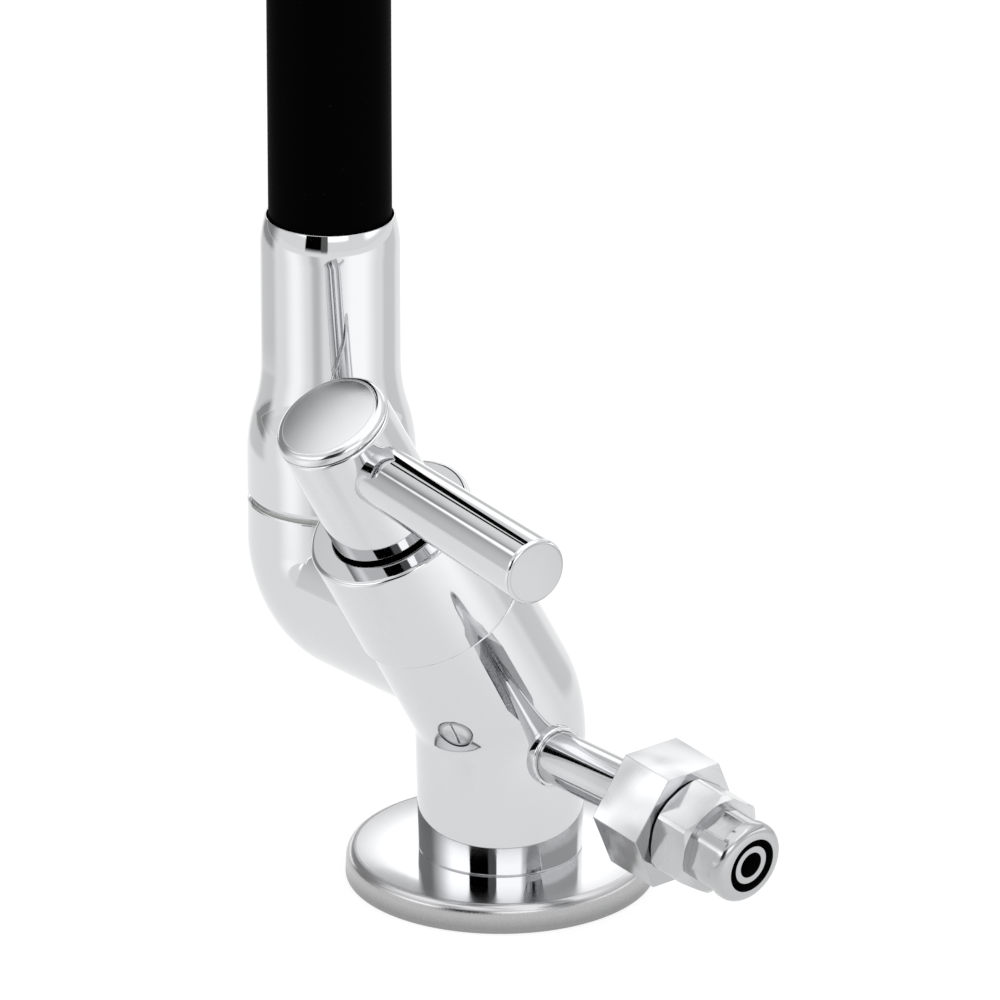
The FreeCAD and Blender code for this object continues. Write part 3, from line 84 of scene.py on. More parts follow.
# %% The tap's axes
VALVE_LEAN = 30.1
VALVE_TALL, NECK_TALL = 31.4, 33.05
LEVER_AT = 69.0
COLUMN_OFF = 49.2
PIPE_TALL, PIPE_STRAIGHT, PIPE_BEND, PIPE_DROOP = 28.4, 24.8, 28.0, 8.7
HOSE_FOOT, HOSE_TOP, HOSE_ARCH, HOSE_DROP = 97.05, 250.0, 80.0, 26.0
VALVE = move(0, 0, VALVE_TALL) @ turn("Y", VALVE_LEAN)
NECK = move(0, 0, NECK_TALL) @ turn("Y", VALVE_LEAN)
HANDLE = VALVE @ turn("Z", -5.6)
LEVER = HANDLE @ move(0, 0, LEVER_AT) @ turn("X", -90)
COLUMN = move(0, -COLUMN_OFF, 0)
PIPE = move(0, 11.0, PIPE_TALL) @ turn("X", -90) @ turn("Z", 203)
DROOP = np.radians(PIPE_DROOP)
PIPE_END = move(0, PIPE_BEND * (np.cos(DROOP) - 1), PIPE_STRAIGHT + PIPE_BEND * np.sin(DROOP))
FITTING = PIPE @ PIPE_END @ turn("X", PIPE_DROOP)
HOSE = COLUMN @ move(0, 0, HOSE_FOOT)
OUTLET = move(0, -COLUMN_OFF - 2 * HOSE_ARCH, HOSE_TOP - HOSE_DROP) @ turn("X", 180)
print("the supply fitting points along", np.round(FITTING[:3, 2], 3))

# %% [markdown]
# ## From an outline to a surface
#
# Nearly all of these pieces were turned on a lathe. Such a piece is an outline carried round an axis. No real
# edge is perfectly sharp: each corner has a small rounding that catches a line of light, and on chrome this
# line is most of what tells the eye that it's metal. So the outline is given as corners, each with its own
# rounding, and the function below finds the touching arc. A Bevel modifier could round the corners too, but
# the arc gives exact normals, which polished metal needs.

# %% Outlines with rounded corners
FINEST_EDGE = 0.05


def rounded(corners, closed=False, steps=6):
    """Points and outward normals of an outline of (radius, height, rounding) corners, metal on the left.

    The rounding's arc begins r times the tangent of half the turn before the corner. Its centre lies r to
    the metal's side of that point, or to the free side in a hollow corner, and its normal turns evenly from
    one side's normal to the next side's.
    """
    table = np.array([tuple(c) + (0,) * (3 - len(c)) for c in corners], float)
    spots, radii = table[:, :2], np.maximum(table[:, 2], FINEST_EDGE)
    before, after = np.roll(spots, 1, axis=0), np.roll(spots, -1, axis=0)
    way_in = (spots - before) / np.maximum(np.linalg.norm(spots - before, axis=1), 1e-9)[:, None]
    way_out = (after - spots) / np.maximum(np.linalg.norm(after - spots, axis=1), 1e-9)[:, None]
    bend = np.arctan2(way_in[:, 0] * way_out[:, 1] - way_in[:, 1] * way_out[:, 0],
                      (way_in * way_out).sum(axis=1))
    side = np.where(bend > 0, 1.0, -1.0)
    start = spots - way_in * (radii * np.tan(np.abs(bend) / 2))[:, None]
    normal_in = np.stack([way_in[:, 1], -way_in[:, 0]], axis=1)
    centre = start - normal_in * (side * radii)[:, None]
    angle = bend[:, None] * np.linspace(0, 1, steps + 1)[None, :]
    normals = np.stack([
        normal_in[:, None, 0] * np.cos(angle) - normal_in[:, None, 1] * np.sin(angle),
        normal_in[:, None, 0] * np.sin(angle) + normal_in[:, None, 1] * np.cos(angle)], axis=2)
    points = centre[:, None, :] + normals * (side * radii)[:, None, None]
    if closed:
        return points.reshape(-1, 2), normals.reshape(-1, 2)
    points = np.concatenate([spots[:1], points[1:-1].reshape(-1, 2), spots[-1:]])
    ends = np.stack([way_out[0, 1], -way_out[0, 0]]), np.stack([way_in[-1, 1], -way_in[-1, 0]])
    normals = np.concatenate([ends[:1], normals[1:-1].reshape(-1, 2), ends[1:]])
    return points, normals


def finer(points, normals, step, closed):
    """The same outline with more points on its long sides, at most a step apart along its length."""
    if closed:
        points, normals = np.concatenate([points, points[:1]]), np.concatenate([normals, normals[:1]])
    length = np.concatenate([[0], np.cumsum(np.linalg.norm(np.diff(points, axis=0), axis=1))])
    more = np.arange(step, length[-1], step)
    near = np.abs(more[:, None] - length[None, :]).min(axis=1) < step * 0.3
    at = np.union1d(length, more[~near])
    points = np.stack([np.interp(at, length, points[:, k]) for k in (0, 1)], axis=1)
    normals = np.stack([np.interp(at, length, normals[:, k]) for k in (0, 1)], axis=1)
    return (points[:-1], normals[:-1]) if closed else (points, normals)


# %% [markdown]
# The outline is then carried along a centreline while it goes round it. For a lathe piece the centreline is
# straight. The supply pipe and the hose have the same kind of surface on a bent centreline, so one function
# serves for all of them. Blender's own Spin or a bevelled curve would do, but here the grid's rows and
# columns are known, and with them the normals and the pattern coordinates.

# %% Outlines carried along a centreline
def upright(along):
    """A straight centreline up Z: its centres, two cross directions and its own direction."""
    nought, one = np.zeros_like(along), np.ones_like(along)
    return (np.stack([nought, nought, along], axis=1), np.stack([one, nought, nought], axis=1),
            np.stack([nought, one, nought], axis=1), np.stack([nought, nought, one], axis=1))


def bent(straight, radius, degrees):
    """A centreline that goes straight up Z, then round a circle towards -Y, then straight on.

    At a length s past the straight part the direction has turned by s over the radius, so the centre lies
    at minus r times one less the cosine in Y, and at the straight length plus r times the sine in Z.
    """
    def line(along):
        full = np.radians(degrees)
        angle = np.clip((along - straight) / radius, 0, full)
        rest = np.maximum(along - straight - radius * full, 0)
        nought, one = np.zeros_like(along), np.ones_like(along)
        y = -radius * (1 - np.cos(angle)) - rest * np.sin(angle)
        z = np.minimum(along, straight) + radius * np.sin(angle) + rest * np.cos(angle)
        return (np.stack([nought, y, z], axis=1), np.stack([one, nought, nought], axis=1),
                np.stack([nought, np.cos(angle), np.sin(angle)], axis=1),
                np.stack([nought, -np.sin(angle), np.cos(angle)], axis=1))
    return line


def carried(points, normals, line, around):
    """The surface point at outline place i and angle j: the centre plus the radius times a turning arm."""
    centre, across, up, ahead = line(points[:, 1])
    angle = np.arange(around) * 2 * np.pi / around
    arm = (across[:, None, :] * np.cos(angle)[None, :, None] + up[:, None, :] * np.sin(angle)[None, :, None])
    surface = centre[:, None, :] + arm * points[:, 0, None, None]
    outward = arm * normals[:, 0, None, None] + ahead[:, None, :] * normals[:, 1, None, None]
    return surface, outward


def grid_faces(rows, around, closed):
    """The quads of a grid whose columns join up, and whose rows do too if it is closed."""
    index = np.arange(rows * around).reshape(rows, around)
    if closed:
        index = np.concatenate([index, index[:1]])
    beside = np.roll(index, -1, axis=1)
    return np.stack([index[:-1], beside[:-1], beside[1:], index[1:]], axis=2).reshape(-1, 4)


def sheet_faces(side):
    """The quads of a square grid with free edges and so many points to a side."""
    index = np.arange(side ** 2).reshape(side, side)
    return np.stack([index[:-1, :-1], index[1:, :-1], index[1:, 1:], index[:-1, 1:]], axis=-1).reshape(-1, 4)


# %% From arrays to an object
MM = 0.001


def read(items, name, width=1, kind=float):
    """One property of all the items, such as the places of a mesh's points, as an array."""
    values = np.empty(len(items) * width, kind)
    items.foreach_get(name, values)
    return values.reshape(-1, width) if width > 1 else values


def build(name, points, faces, normals=None):
    """A mesh object from arrays: points in millimetres, lists of faces, and a normal for each point."""
    corners = np.concatenate([np.asarray(f).ravel() for f in faces]).astype(np.int32)
    sizes = np.concatenate([np.full(len(f), np.shape(f)[1]) for f in faces])
    starts = np.concatenate([[0], np.cumsum(sizes)[:-1]]).astype(np.int32)
    mesh = bpy.data.meshes.new(name)
    mesh.vertices.add(len(points))
    mesh.vertices.foreach_set("co", (points * MM).astype(np.float32).ravel())
    mesh.loops.add(len(corners))
    mesh.loops.foreach_set("vertex_index", corners)
    mesh.polygons.add(len(sizes))
    mesh.polygons.foreach_set("loop_start", starts)
    mesh.update(calc_edges=True)
    mesh.polygons.foreach_set("use_smooth", np.ones(len(sizes), bool))
    if normals is not None:
        mesh.normals_split_custom_set_from_vertices(normals.astype(np.float32))
    piece = bpy.data.objects.new(name, mesh)
    bpy.context.scene.collection.objects.link(piece)
    return piece


def turned(name, corners, matrix, closed=True, around=192, line=upright, step=None, shaped=None):
    """A whole turned piece: a ring from a closed outline, or a solid one whose outline ends on the axis.

    A function given as shaped may change the points and normals in the piece's own frame.
    """
    points, normals = rounded(corners, closed)
    if step:
        points, normals = finer(points, normals, step, closed)
    surface, outward = carried(points, normals, line, around)
    rows = len(points)
    if closed:
        faces = [grid_faces(rows, around, True)]
        surface, outward = surface.reshape(-1, 3), outward.reshape(-1, 3)
    else:
        ring = np.arange(around)
        beside = np.roll(ring, -1)
        last = (rows - 3) * around
        poles = (rows - 2) * around
        faces = [grid_faces(rows - 2, around, False),
                 np.stack([np.full(around, poles), beside, ring], axis=1),
                 np.stack([last + ring, last + beside, np.full(around, poles + 1)], axis=1)]
        surface = np.concatenate([surface[1:-1].reshape(-1, 3), surface[0, :1], surface[-1, :1]])
        outward = np.concatenate([outward[1:-1].reshape(-1, 3), outward[0, :1], outward[-1, :1]])
    if shaped:
        surface, outward = shaped(surface, outward)
    return build(name, place(surface, matrix), faces, outward @ matrix[:3, :3].T)


def dress(piece, body, finish, solid):
    """Gives a piece its finish and its body, and hides the solid that it stands for."""
    piece.data.materials.clear()
    piece.data.materials.append(finish)
    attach(piece, body)
    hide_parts(solid)
    print(piece.name, "has", len(piece.data.polygons), "faces")
    return piece


def lathe_piece(solid, body, finish, corners, matrix, slot="polished_chrome", **how):
    """A turned piece that stands for one solid of the frame, with its finish and its body; its slot argument
    is not used.
    """
    return dress(turned(solid + "_surface", corners, matrix, **how), body, finish, solid)


# %% [markdown]
# ## The finishes
#
# Polished chrome is a mirror with a faint blue cast that gives back a little over half of the light. What
# makes it real is what isn't perfect: wide, very shallow waves left by the polishing wheel, and a roughness
# that drifts a little from place to place. The handle's cap is only ground, so it reflects more softly.

# %% A small kit for materials
def new_material(name, colour, metallic, roughness):
    """A material with one Principled shader: colour, metallic and roughness stand on its own sockets."""
    material = bpy.data.materials.new(name)
    material.use_nodes = True
    nodes = material.node_tree.nodes
    shader = nodes["Principled BSDF"]
    shader.inputs["Base Color"].default_value = tuple(colour) + (1,)
    shader.inputs["Metallic"].default_value = metallic
    shader.inputs["Roughness"].default_value = roughness
    material.diffuse_color = tuple(colour) + (1,)
    return material, material.node_tree, shader


def node(tree, kind, links=(), **settings):
    """Adds a node, sets its inputs and options by name, and links its inputs to other nodes' outputs."""
    made = tree.nodes.new(kind)
    for name, value in settings.items():
        key = name.replace("_", " ")
        if hasattr(made, name):
            setattr(made, name, value)
        else:
            made.inputs[key].default_value = value
    for socket, source in dict(links).items():
        tree.links.new(source, made.inputs[socket])
    return made


def maths(tree, operation, *values):
    """The result of a Math node, whose inputs are numbers or other nodes' outputs."""
    made = node(tree, "ShaderNodeMath", operation=operation)
    for socket, value in zip(made.inputs, values):
        if isinstance(value, (int, float)):
            socket.default_value = value
        else:
            tree.links.new(value, socket)
    return made.outputs[0]


def feed(shader, name, value):
    """Links a value to one of the shader's sockets."""
    shader.id_data.links.new(value, shader.inputs[name])


def axis_of(tree, vector, axis):
    """One coordinate of a vector."""
    return node(tree, "ShaderNodeSeparateXYZ", {"Vector": vector}).outputs[axis]


def place_of(tree, matrix=None):
    """Object coordinates in millimetres, seen from a piece's own frame when a matrix is given."""
    spot = node(tree, "ShaderNodeTexCoord").outputs["Object"]
    back = np.linalg.inv(matrix) if matrix is not None else np.eye(4)
    # A Mapping node turns in the order X, Y, Z and then moves, so the turn is written as three angles.
    pitch = -np.arcsin(back[2, 0])
    angles = (np.arctan2(back[2, 1], back[2, 2]), pitch, np.arctan2(back[1, 0], back[0, 0]))
    mapped = node(tree, "ShaderNodeMapping", {"Vector": spot})
    mapped.inputs["Location"].default_value = tuple(back[:3, 3])
    mapped.inputs["Rotation"].default_value = angles
    mapped.inputs["Scale"].default_value = (1 / MM,) * 3
    return mapped.outputs["Vector"]


def noise(tree, vector, scale, detail=2.0, roughness=0.5):
    """A noise value between 0 and 1 at a scale given in bumps per millimetre."""
    made = node(tree, "ShaderNodeTexNoise", {"Vector": vector})
    made.inputs["Scale"].default_value = scale
    made.inputs["Detail"].default_value = detail
    made.inputs["Roughness"].default_value = roughness
    return made.outputs["Fac"]


def ranged(tree, value, low, high, to_low, to_high):
    """Maps a value from one range to another and stops at the ends."""
    made = node(tree, "ShaderNodeMapRange", {"Value": value})
    for name, number in (("From Min", low), ("From Max", high), ("To Min", to_low), ("To Max", to_high)):
        made.inputs[name].default_value = number
    return made.outputs["Result"]


def tint(tree, value, low, high, from_colour, to_colour):
    """A colour between two others, by a value's place between low and high."""
    mixed = node(tree, "ShaderNodeMix", {0: ranged(tree, value, low, high, 0, 1)}, data_type="RGBA")
    # A Mix node has sockets for each kind of data: its two colours are numbers 6 and 7, the result is 2.
    mixed.inputs[6].default_value = tuple(from_colour) + (1,)
    mixed.inputs[7].default_value = tuple(to_colour) + (1,)
    return mixed.outputs[2]


def bump(tree, shader, height, distance):
    """Lifts the surface's normal by a height value; the distance is in millimetres."""
    made = node(tree, "ShaderNodeBump", {"Height": height})
    made.inputs["Strength"].default_value = 1.0
    made.inputs["Distance"].default_value = distance * MM
    feed(shader, "Normal", made.outputs["Normal"])
    return made


# %% Polished chrome
CHROME = (0.64, 0.645, 0.655)
WAVE_TALL = 0.004


def polished(name, low=0.02, high=0.05):
    """Chrome whose roughness drifts between two values, with broad waves of a few thousandths of a mm."""
    material, tree, shader = new_material(name, CHROME, 1.0, low)
    spot = place_of(tree)
    cloud = noise(tree, spot, 0.12, 3.0)
    feed(shader, "Roughness", ranged(tree, cloud, 0.35, 0.7, low, high))
    bump(tree, shader, noise(tree, spot, 0.25, 1.0), WAVE_TALL)
    return material, tree, shader


chrome = polished("polished_chrome_finish")[0]
soft_chrome = polished("ground_chrome_finish", low=0.13, high=0.19)[0]
print("chrome is ready")

# %% [markdown]
# Parts that keep the marks of the lathe need more. A turning tool leaves fine rings: on an end face they lie
# round the axis at different radii, on a side they follow each other along the axis. Both are lines on which
# the radius and the height are constant. So the pattern is a noise that is stretched out round the axis: it
# reads the radius, the height and hardly the angle at all. A picture of scratches would need a map for each
# face, while this runs over every edge without a seam.

# %% Turned and drawn metal
TWIST = 0.3


def ring_place(tree, matrix, fine, along=1.0):
    """The place on a turned piece: radius and height times a fineness, and a little of the direction."""
    spot = place_of(tree, matrix)
    parts = node(tree, "ShaderNodeSeparateXYZ", {"Vector": spot}).outputs
    flat = node(tree, "ShaderNodeCombineXYZ", {"X": parts["X"], "Y": parts["Y"]}).outputs["Vector"]
    radius = node(tree, "ShaderNodeVectorMath", {0: flat}, operation="LENGTH").outputs["Value"]
    way = node(tree, "ShaderNodeVectorMath", {0: flat}, operation="NORMALIZE").outputs["Vector"]
    twisted = node(tree, "ShaderNodeVectorMath", {0: way}, operation="SCALE", Scale=TWIST).outputs["Vector"]
    rings = node(tree, "ShaderNodeCombineXYZ", {
        "X": maths(tree, "MULTIPLY", radius, fine),
        "Y": maths(tree, "MULTIPLY", parts["Z"], fine * along)}).outputs["Vector"]
    place_on = node(tree, "ShaderNodeVectorMath", {0: rings, 1: twisted}, operation="ADD").outputs["Vector"]
    return place_on, radius


MARK_SHARE = 0.2


def lathe_turned(name, matrix, colour=CHROME, low=0.1, high=0.22, fine=3.0, deep=0.004, along=1.0,
                 pillow=0.0, shade=0.9):
    """Metal with turning marks: rings of changing roughness and depth round the matrix's axis.

    A pillow is a broad wave under the marks, so many mm high, such as a polishing belt leaves on a flat. The
    colour is darkest, by the factor shade, where a soft cloud and a small share of the marks are weak.
    """
    material, tree, shader = new_material(name, colour, 1.0, low)
    rings = ring_place(tree, matrix, fine, along)[0]
    marks = noise(tree, rings, 1.0, 4.0, 0.65)
    feed(shader, "Roughness", ranged(tree, marks, 0.3, 0.7, low, high))
    spot = place_of(tree, matrix)
    both = maths(tree, "MULTIPLY_ADD", marks, MARK_SHARE, noise(tree, spot, 0.055, 0.0))
    feed(shader, "Base Color", tint(tree, both, 0.5, 0.75, [c * shade for c in colour], colour))
    first = bump(tree, shader, noise(tree, spot, 0.09, 1.0), pillow)
    tree.links.new(first.outputs["Normal"], bump(tree, shader, marks, deep).inputs["Normal"])
    return material


nut_chrome = lathe_turned("turned_chrome_finish", FITTING, CHROME, 0.1, 0.2, deep=0.002,
                          pillow=0.5, shade=0.7)
pipe_chrome = lathe_turned("drawn_pipe_finish", PIPE, CHROME, 0.03, 0.09, fine=1.6, deep=0.0015, along=1.5)
print("turned finishes are ready")

# %% [markdown]
# The hose's sleeve is moulded black rubber, matt and so dark that only its edges show any light. The level of
# its mirror reflection is set very low, because an ordinary one would turn the whole sleeve grey in a white
# studio. A few pale specks of dust and a faint pebble grain keep it from looking like a hole in the picture.

# %% Rubber
def rubbery(name, colour, speck, level, roughness=0.5, grain=0.01):
    """Matt rubber: a dark colour with rare lighter specks, and a fine grain as bump."""
    material, tree, shader = new_material(name, colour, 0.0, roughness)
    shader.inputs["Specular IOR Level"].default_value = level
    spot = place_of(tree)
    specks = noise(tree, spot, 1.6, 1.0)
    feed(shader, "Base Color", tint(tree, specks, 0.79, 0.84, colour, speck))
    pebble = noise(tree, spot, 5.0, 3.0)
    feed(shader, "Roughness", ranged(tree, pebble, 0.3, 0.7, roughness - 0.08, roughness + 0.08))
    bump(tree, shader, pebble, grain)
    return material


hose_rubber = rubbery("hose_rubber_finish", (0.0013, 0.0013, 0.0013), (0.02, 0.02, 0.02), 0.006)
seal_rubber = rubbery("seal_rubber_finish", (0.012, 0.012, 0.012), (0.03, 0.03, 0.03), 0.25, 0.45)
print("rubber is ready")

# %% [markdown]
# Most parts of the tap are hidden: the spindle, the ceramic discs, the hose's steel core. They keep their
# solids from the frame, but they show when the tap is taken apart, so each gets the finish of its own stuff:
# machined brass, drawn steel, lapped ceramic and plain plastic. The last two finishes here are painted shade:
# a near-black colour on the insides of the valve's mouth and of the supply fitting, where metal lies in
# shade.

# %% Finishes of the hidden parts, and painted shade for the bores
def machined(name, colour, dull, low, high, axis):
    """Bare machined metal: turning marks round an axis, and a colour that is duller in places."""
    material, tree, shader = new_material(name, colour, 1.0, low)
    marks = noise(tree, ring_place(tree, axis, 4.0)[0], 1.0, 3.0)
    cloud = noise(tree, place_of(tree), 0.3, 3.0)
    feed(shader, "Roughness", ranged(tree, marks, 0.3, 0.7, low, high))
    feed(shader, "Base Color", tint(tree, cloud, 0.35, 0.7, colour, dull))
    bump(tree, shader, marks, 0.004)
    return material


def moulded(name, colour, other, roughness, grain):
    """Plastic or ceramic: two near colours in soft clouds, and a fine even grain."""
    material, tree, shader = new_material(name, colour, 0.0, roughness)
    spot = place_of(tree)
    cloud = noise(tree, spot, 0.5, 2.0)
    feed(shader, "Base Color", tint(tree, cloud, 0.35, 0.65, colour, other))
    fine = noise(tree, spot, 8.0, 2.0)
    feed(shader, "Roughness", ranged(tree, fine, 0.3, 0.7, roughness - 0.06, roughness + 0.06))
    bump(tree, shader, fine, grain)
    return material


BRASS, DULL_BRASS = (0.72, 0.52, 0.25), (0.6, 0.42, 0.2)
valve_brass = machined("machined_brass_finish", BRASS, DULL_BRASS, 0.2, 0.34, VALVE)
spout_brass = machined("spout_brass_finish", BRASS, DULL_BRASS, 0.2, 0.34, COLUMN)
drawn_steel = machined("drawn_steel_finish", (0.55, 0.55, 0.56), (0.44, 0.44, 0.45), 0.22, 0.36, VALVE)
ceramic = moulded("lapped_ceramic_finish", (0.82, 0.81, 0.77), (0.78, 0.77, 0.73), 0.3, 0.002)
plastic = moulded("moulded_plastic_finish", (0.7, 0.7, 0.68), (0.66, 0.66, 0.64), 0.42, 0.006)
# Painted shade: a near-black finish for the insides of the supply fitting, which are metal in shade.
fitting_bore_painted_shade = lathe_turned("fitting_bore_painted_shade_finish", FITTING, (0.035, 0.035, 0.036), 0.35, 0.55, 3.5, 0.01)
# Painted shade: a near-black finish for the bore inside the valve's mouth, which is metal in shade.
valve_mouth_painted_shade = lathe_turned("valve_mouth_painted_shade_finish", VALVE, (0.03, 0.03, 0.03), 0.4, 0.6, 3.5, 0.01)

HIDDEN = {
    valve_brass: ["headpart_body", "spindle"],
    spout_brass: ["swivel_nipple", "lower_hose_tail", "upper_hose_tail"],
    drawn_steel: ["spindle_clip", "handle_screw", "nipple_clip", "gooseneck_core"],
    ceramic: ["fixed_ceramic_disc", "moving_ceramic_disc"],
    plastic: ["glide_ring", "water_tube", "aerator_insert"],
    seal_rubber: ["base_gasket", "headpart_oring", "headpart_seal", "swivel_orings",
                  "spindle_orings", "aerator_seal"],
}
for finish, names in HIDDEN.items():
    for name in names:
        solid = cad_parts[name]
        solid.data.materials.clear()
        solid.data.materials.append(finish)
print("finishes given to", sum(len(names) for names in HIDDEN.values()), "solids of the frame")

# %% [markdown]
# ## The base disc
#
# The disc that the tap stands on is turned from brass plate and chromed. Its top is nearly flat, its rim is
# rounded, and its side flares a little towards the worktop, with a groove for a rubber ring underneath. Only
# the top was polished: the rim and the side are duller, with fine pits near the worktop. The finish reads the
# height and the distance from the middle for that, so no edge has to be marked by hand.

# %% The base disc
DISC_RAD, DISC_TALL = 28.6, 5.6
FOOT_RAD, SPIGOT_RAD = 15.1, 10.05
OUTER_TOP_RING = (19, 27)


def disc_finish():
    """Polished on top and duller outwards, with a satin side below the rim and fine pits in its low part."""
    material, tree, shader = polished("disc_finish")
    drift, waves = [shader.inputs[name].links[0].from_socket for name in ("Roughness", "Normal")]
    spot = place_of(tree)
    height = axis_of(tree, spot, "Z")
    radius = ring_place(tree, move(0, 0, 0), 1.0)[1]
    pits = noise(tree, spot, 3.2, 4.0, 0.7)
    side = ranged(tree, height, 4.0, 5.1, 1, 0)
    satin = tint(tree, height, 1.2, 3.2, (0.3, 0.3, 0.3), (0.45, 0.45, 0.455))
    # Over this ring of radii the top's colour grows darker and its roughness higher, outwards.
    top = tint(tree, radius, *OUTER_TOP_RING, CHROME, (0.52, 0.52, 0.53))
    mixed = node(tree, "ShaderNodeMix", {0: side, 6: top, 7: satin}, data_type="RGBA")
    feed(shader, "Base Color", mixed.outputs[2])
    rough = maths(tree, "MULTIPLY", side, ranged(tree, pits, 0.35, 0.65, 0.34, 0.24))
    rough = maths(tree, "MAXIMUM", rough, ranged(tree, radius, *OUTER_TOP_RING, 0, 0.22))
    feed(shader, "Roughness", maths(tree, "MAXIMUM", rough, drift))
    pitted = maths(tree, "MULTIPLY", ranged(tree, height, 0.4, 2.2, 1, 0), pits)
    tree.links.new(waves, bump(tree, shader, pitted, 0.02).inputs["Normal"])
    return material


lathe_piece("base_disc", "tap", disc_finish(), [
    (SPIGOT_RAD, 0), (19.5, 0), (19.5, 1.5), (25.5, 1.5), (25.5, 0), (DISC_RAD, 0, 0.5), (28.35, 5.31, 1.9),
    (21.8, DISC_TALL, 220.0), (FOOT_RAD, DISC_TALL), (SPIGOT_RAD, DISC_TALL)], move(0, 0, 0), around=256)

# %% [markdown]
# ## The cast body
#
# Foot, bend, leaning neck and elbow are one casting, ground and polished until the joints between its round
# forms are soft. Lathe outlines can't give that: two tubes run into each other at an angle. Sculpting would
# not be exact. So the body is written as a distance: a function that gives, for any point in space, how far
# it lies outside the metal. The smooth minimum of two distances joins two forms with a fillet. A grid of
# cells is laid through the space, each cell that the surface crosses gets a point on it, and neighbouring
# points are joined to quads.

# %% Distances to the body's forms
TUBE_RAD = 15.65
NECK_BEND = 20.0
BEND_REACH = NECK_BEND * np.tan(np.radians(VALVE_LEAN / 2))
BEND_TALL = NECK_TALL - BEND_REACH


def neck_distance(p):
    """How far p lies from the bent tube of foot and neck.

    Below the bend it is the distance from the upright axis less a radius that grows with height, in the bend
    the distance from a circle's arc, and above it the distance from the leaning axis, less the tube's radius.
    """
    x, y, z = p[..., 0], p[..., 1], p[..., 2]
    lean = np.radians(VALVE_LEAN)
    below = np.hypot(x, y) - np.interp(z, [DISC_TALL, BEND_TALL], [FOOT_RAD, TUBE_RAD])
    bending = np.hypot(np.hypot(x - NECK_BEND, z - BEND_TALL) - NECK_BEND, y) - TUBE_RAD
    above = np.hypot(x * np.cos(lean) - (z - NECK_TALL) * np.sin(lean), y) - TUBE_RAD
    ahead = x * np.sin(lean) + (z - NECK_TALL) * np.cos(lean)
    return np.where(z < BEND_TALL, below, np.where(ahead > BEND_REACH, above, bending))


ELBOW_RAD = 15.7
ELBOW_TALL = 43.65
ELBOW_BEND = 8.5
ELBOW_ROOT = -12.5


def elbow_distance(p):
    """How far p lies from the elbow: a level run with a round root, a tight outer corner and a short rise."""
    x, y, z = p[..., 0], p[..., 1], p[..., 2]
    corner_y, corner_z = -COLUMN_OFF + ELBOW_BEND, ELBOW_TALL + ELBOW_BEND
    run = np.hypot(np.hypot(x, y - np.clip(y, corner_y, ELBOW_ROOT)), z - ELBOW_TALL) - ELBOW_RAD
    rise = np.hypot(np.hypot(x, y + COLUMN_OFF), z - np.maximum(z, corner_z)) - ELBOW_RAD
    reach = np.hypot(corner_y - y, corner_z - z)
    corner = np.hypot(reach - ELBOW_BEND, x) - ELBOW_RAD
    return np.where((y < corner_y) & (z < corner_z), corner, np.minimum(run, rise))


FILLET = 3.0


def body_distance(p):
    """The smooth minimum of the two: where they differ by less than the fillet, both are blended."""
    first, second = neck_distance(p), elbow_distance(p)
    share = np.clip(0.5 + 0.5 * (second - first) / FILLET, 0, 1)
    return second * (1 - share) + first * share - FILLET * share * (1 - share)


def slope(distance, p, h=0.02):
    """The unit direction in which a distance grows, from its differences over a small step."""
    ways = np.eye(3) * h
    grown = np.stack([distance(p + way) - distance(p - way) for way in ways], axis=-1)
    return grown / np.maximum(np.linalg.norm(grown, axis=-1, keepdims=True), 1e-12)


# %% A net of quads on a distance
def surface_net(distance, low, high, cell):
    """Points and quads on the surface where the distance is zero.

    A point starts at the mean of the places where the surface crosses its cell's twelve edges. A quad joins
    the four cells round each crossed edge. Each point is then moved along the slope onto the surface itself.
    """
    axes = [np.arange(a, b + cell, cell) for a, b in zip(low, high)]
    value = distance(np.stack(np.meshgrid(*axes, indexing="ij"), axis=-1))
    cells = tuple(n - 1 for n in value.shape)
    total, count = np.zeros(cells + (3,)), np.zeros(cells)
    quads = []
    for a in range(3):
        b, c = (a + 1) % 3, (a + 2) % 3
        near = np.moveaxis(value, a, 0)[:-1]
        far = np.moveaxis(value, a, 0)[1:]
        crossed = np.moveaxis((near < 0) != (far < 0), 0, a)
        part = np.moveaxis(near / np.where(near == far, 1, near - far), 0, a)
        for shift_b in (0, 1):
            for shift_c in (0, 1):
                cut = [slice(None)] * 3
                cut[b] = slice(shift_b, cells[b] + shift_b)
                cut[c] = slice(shift_c, cells[c] + shift_c)
                hit = crossed[tuple(cut)]
                spot = np.zeros(cells + (3,))
                spot[..., a] = part[tuple(cut)]
                spot[..., b] = shift_b
                spot[..., c] = shift_c
                total += spot * hit[..., None]
                count += hit
    used = count > 0
    number = np.full(cells, -1)
    number[used] = np.arange(used.sum())
    corner = np.stack(np.nonzero(used), axis=1)
    points = (corner + total[used] / count[used][:, None]) * cell + np.array([a[0] for a in axes])
    for a in range(3):
        b, c = (a + 1) % 3, (a + 2) % 3
        inner = np.moveaxis(value, (a, b, c), (0, 1, 2))
        turned_number = np.moveaxis(number, (a, b, c), (0, 1, 2))
        start, end = inner[:-1, 1:-1, 1:-1] < 0, inner[1:, 1:-1, 1:-1] < 0
        four = np.stack([turned_number[:, :-1, :-1], turned_number[:, 1:, :-1],
                         turned_number[:, 1:, 1:], turned_number[:, :-1, 1:]], axis=-1)
        quads.append(four[start & ~end])
        quads.append(four[~start & end][:, ::-1])
    for _ in range(4):
        points = points - slope(distance, points) * distance(points)[:, None]
    return points, np.concatenate(quads)


NET_LOW, NET_HIGH, NET_CELL = (-19, -68, 2), (36, 18, 64), 0.6
net_points, net_quads = surface_net(body_distance, NET_LOW, NET_HIGH, NET_CELL)
print("the net has", len(net_points), "points")

# %% [markdown]
# The net runs on past the real ends, so it is cut at three planes: the disc, the joint with the valve
# housing and the swivel joint. The housing's plane would also reach the elbow's rise, so each cut has a range
# of Y of its own. A few more cuts close to each end give rows that are drawn in along a small arc. This is
# the broken edge that makes a joint between two polished pieces visible as a fine line.

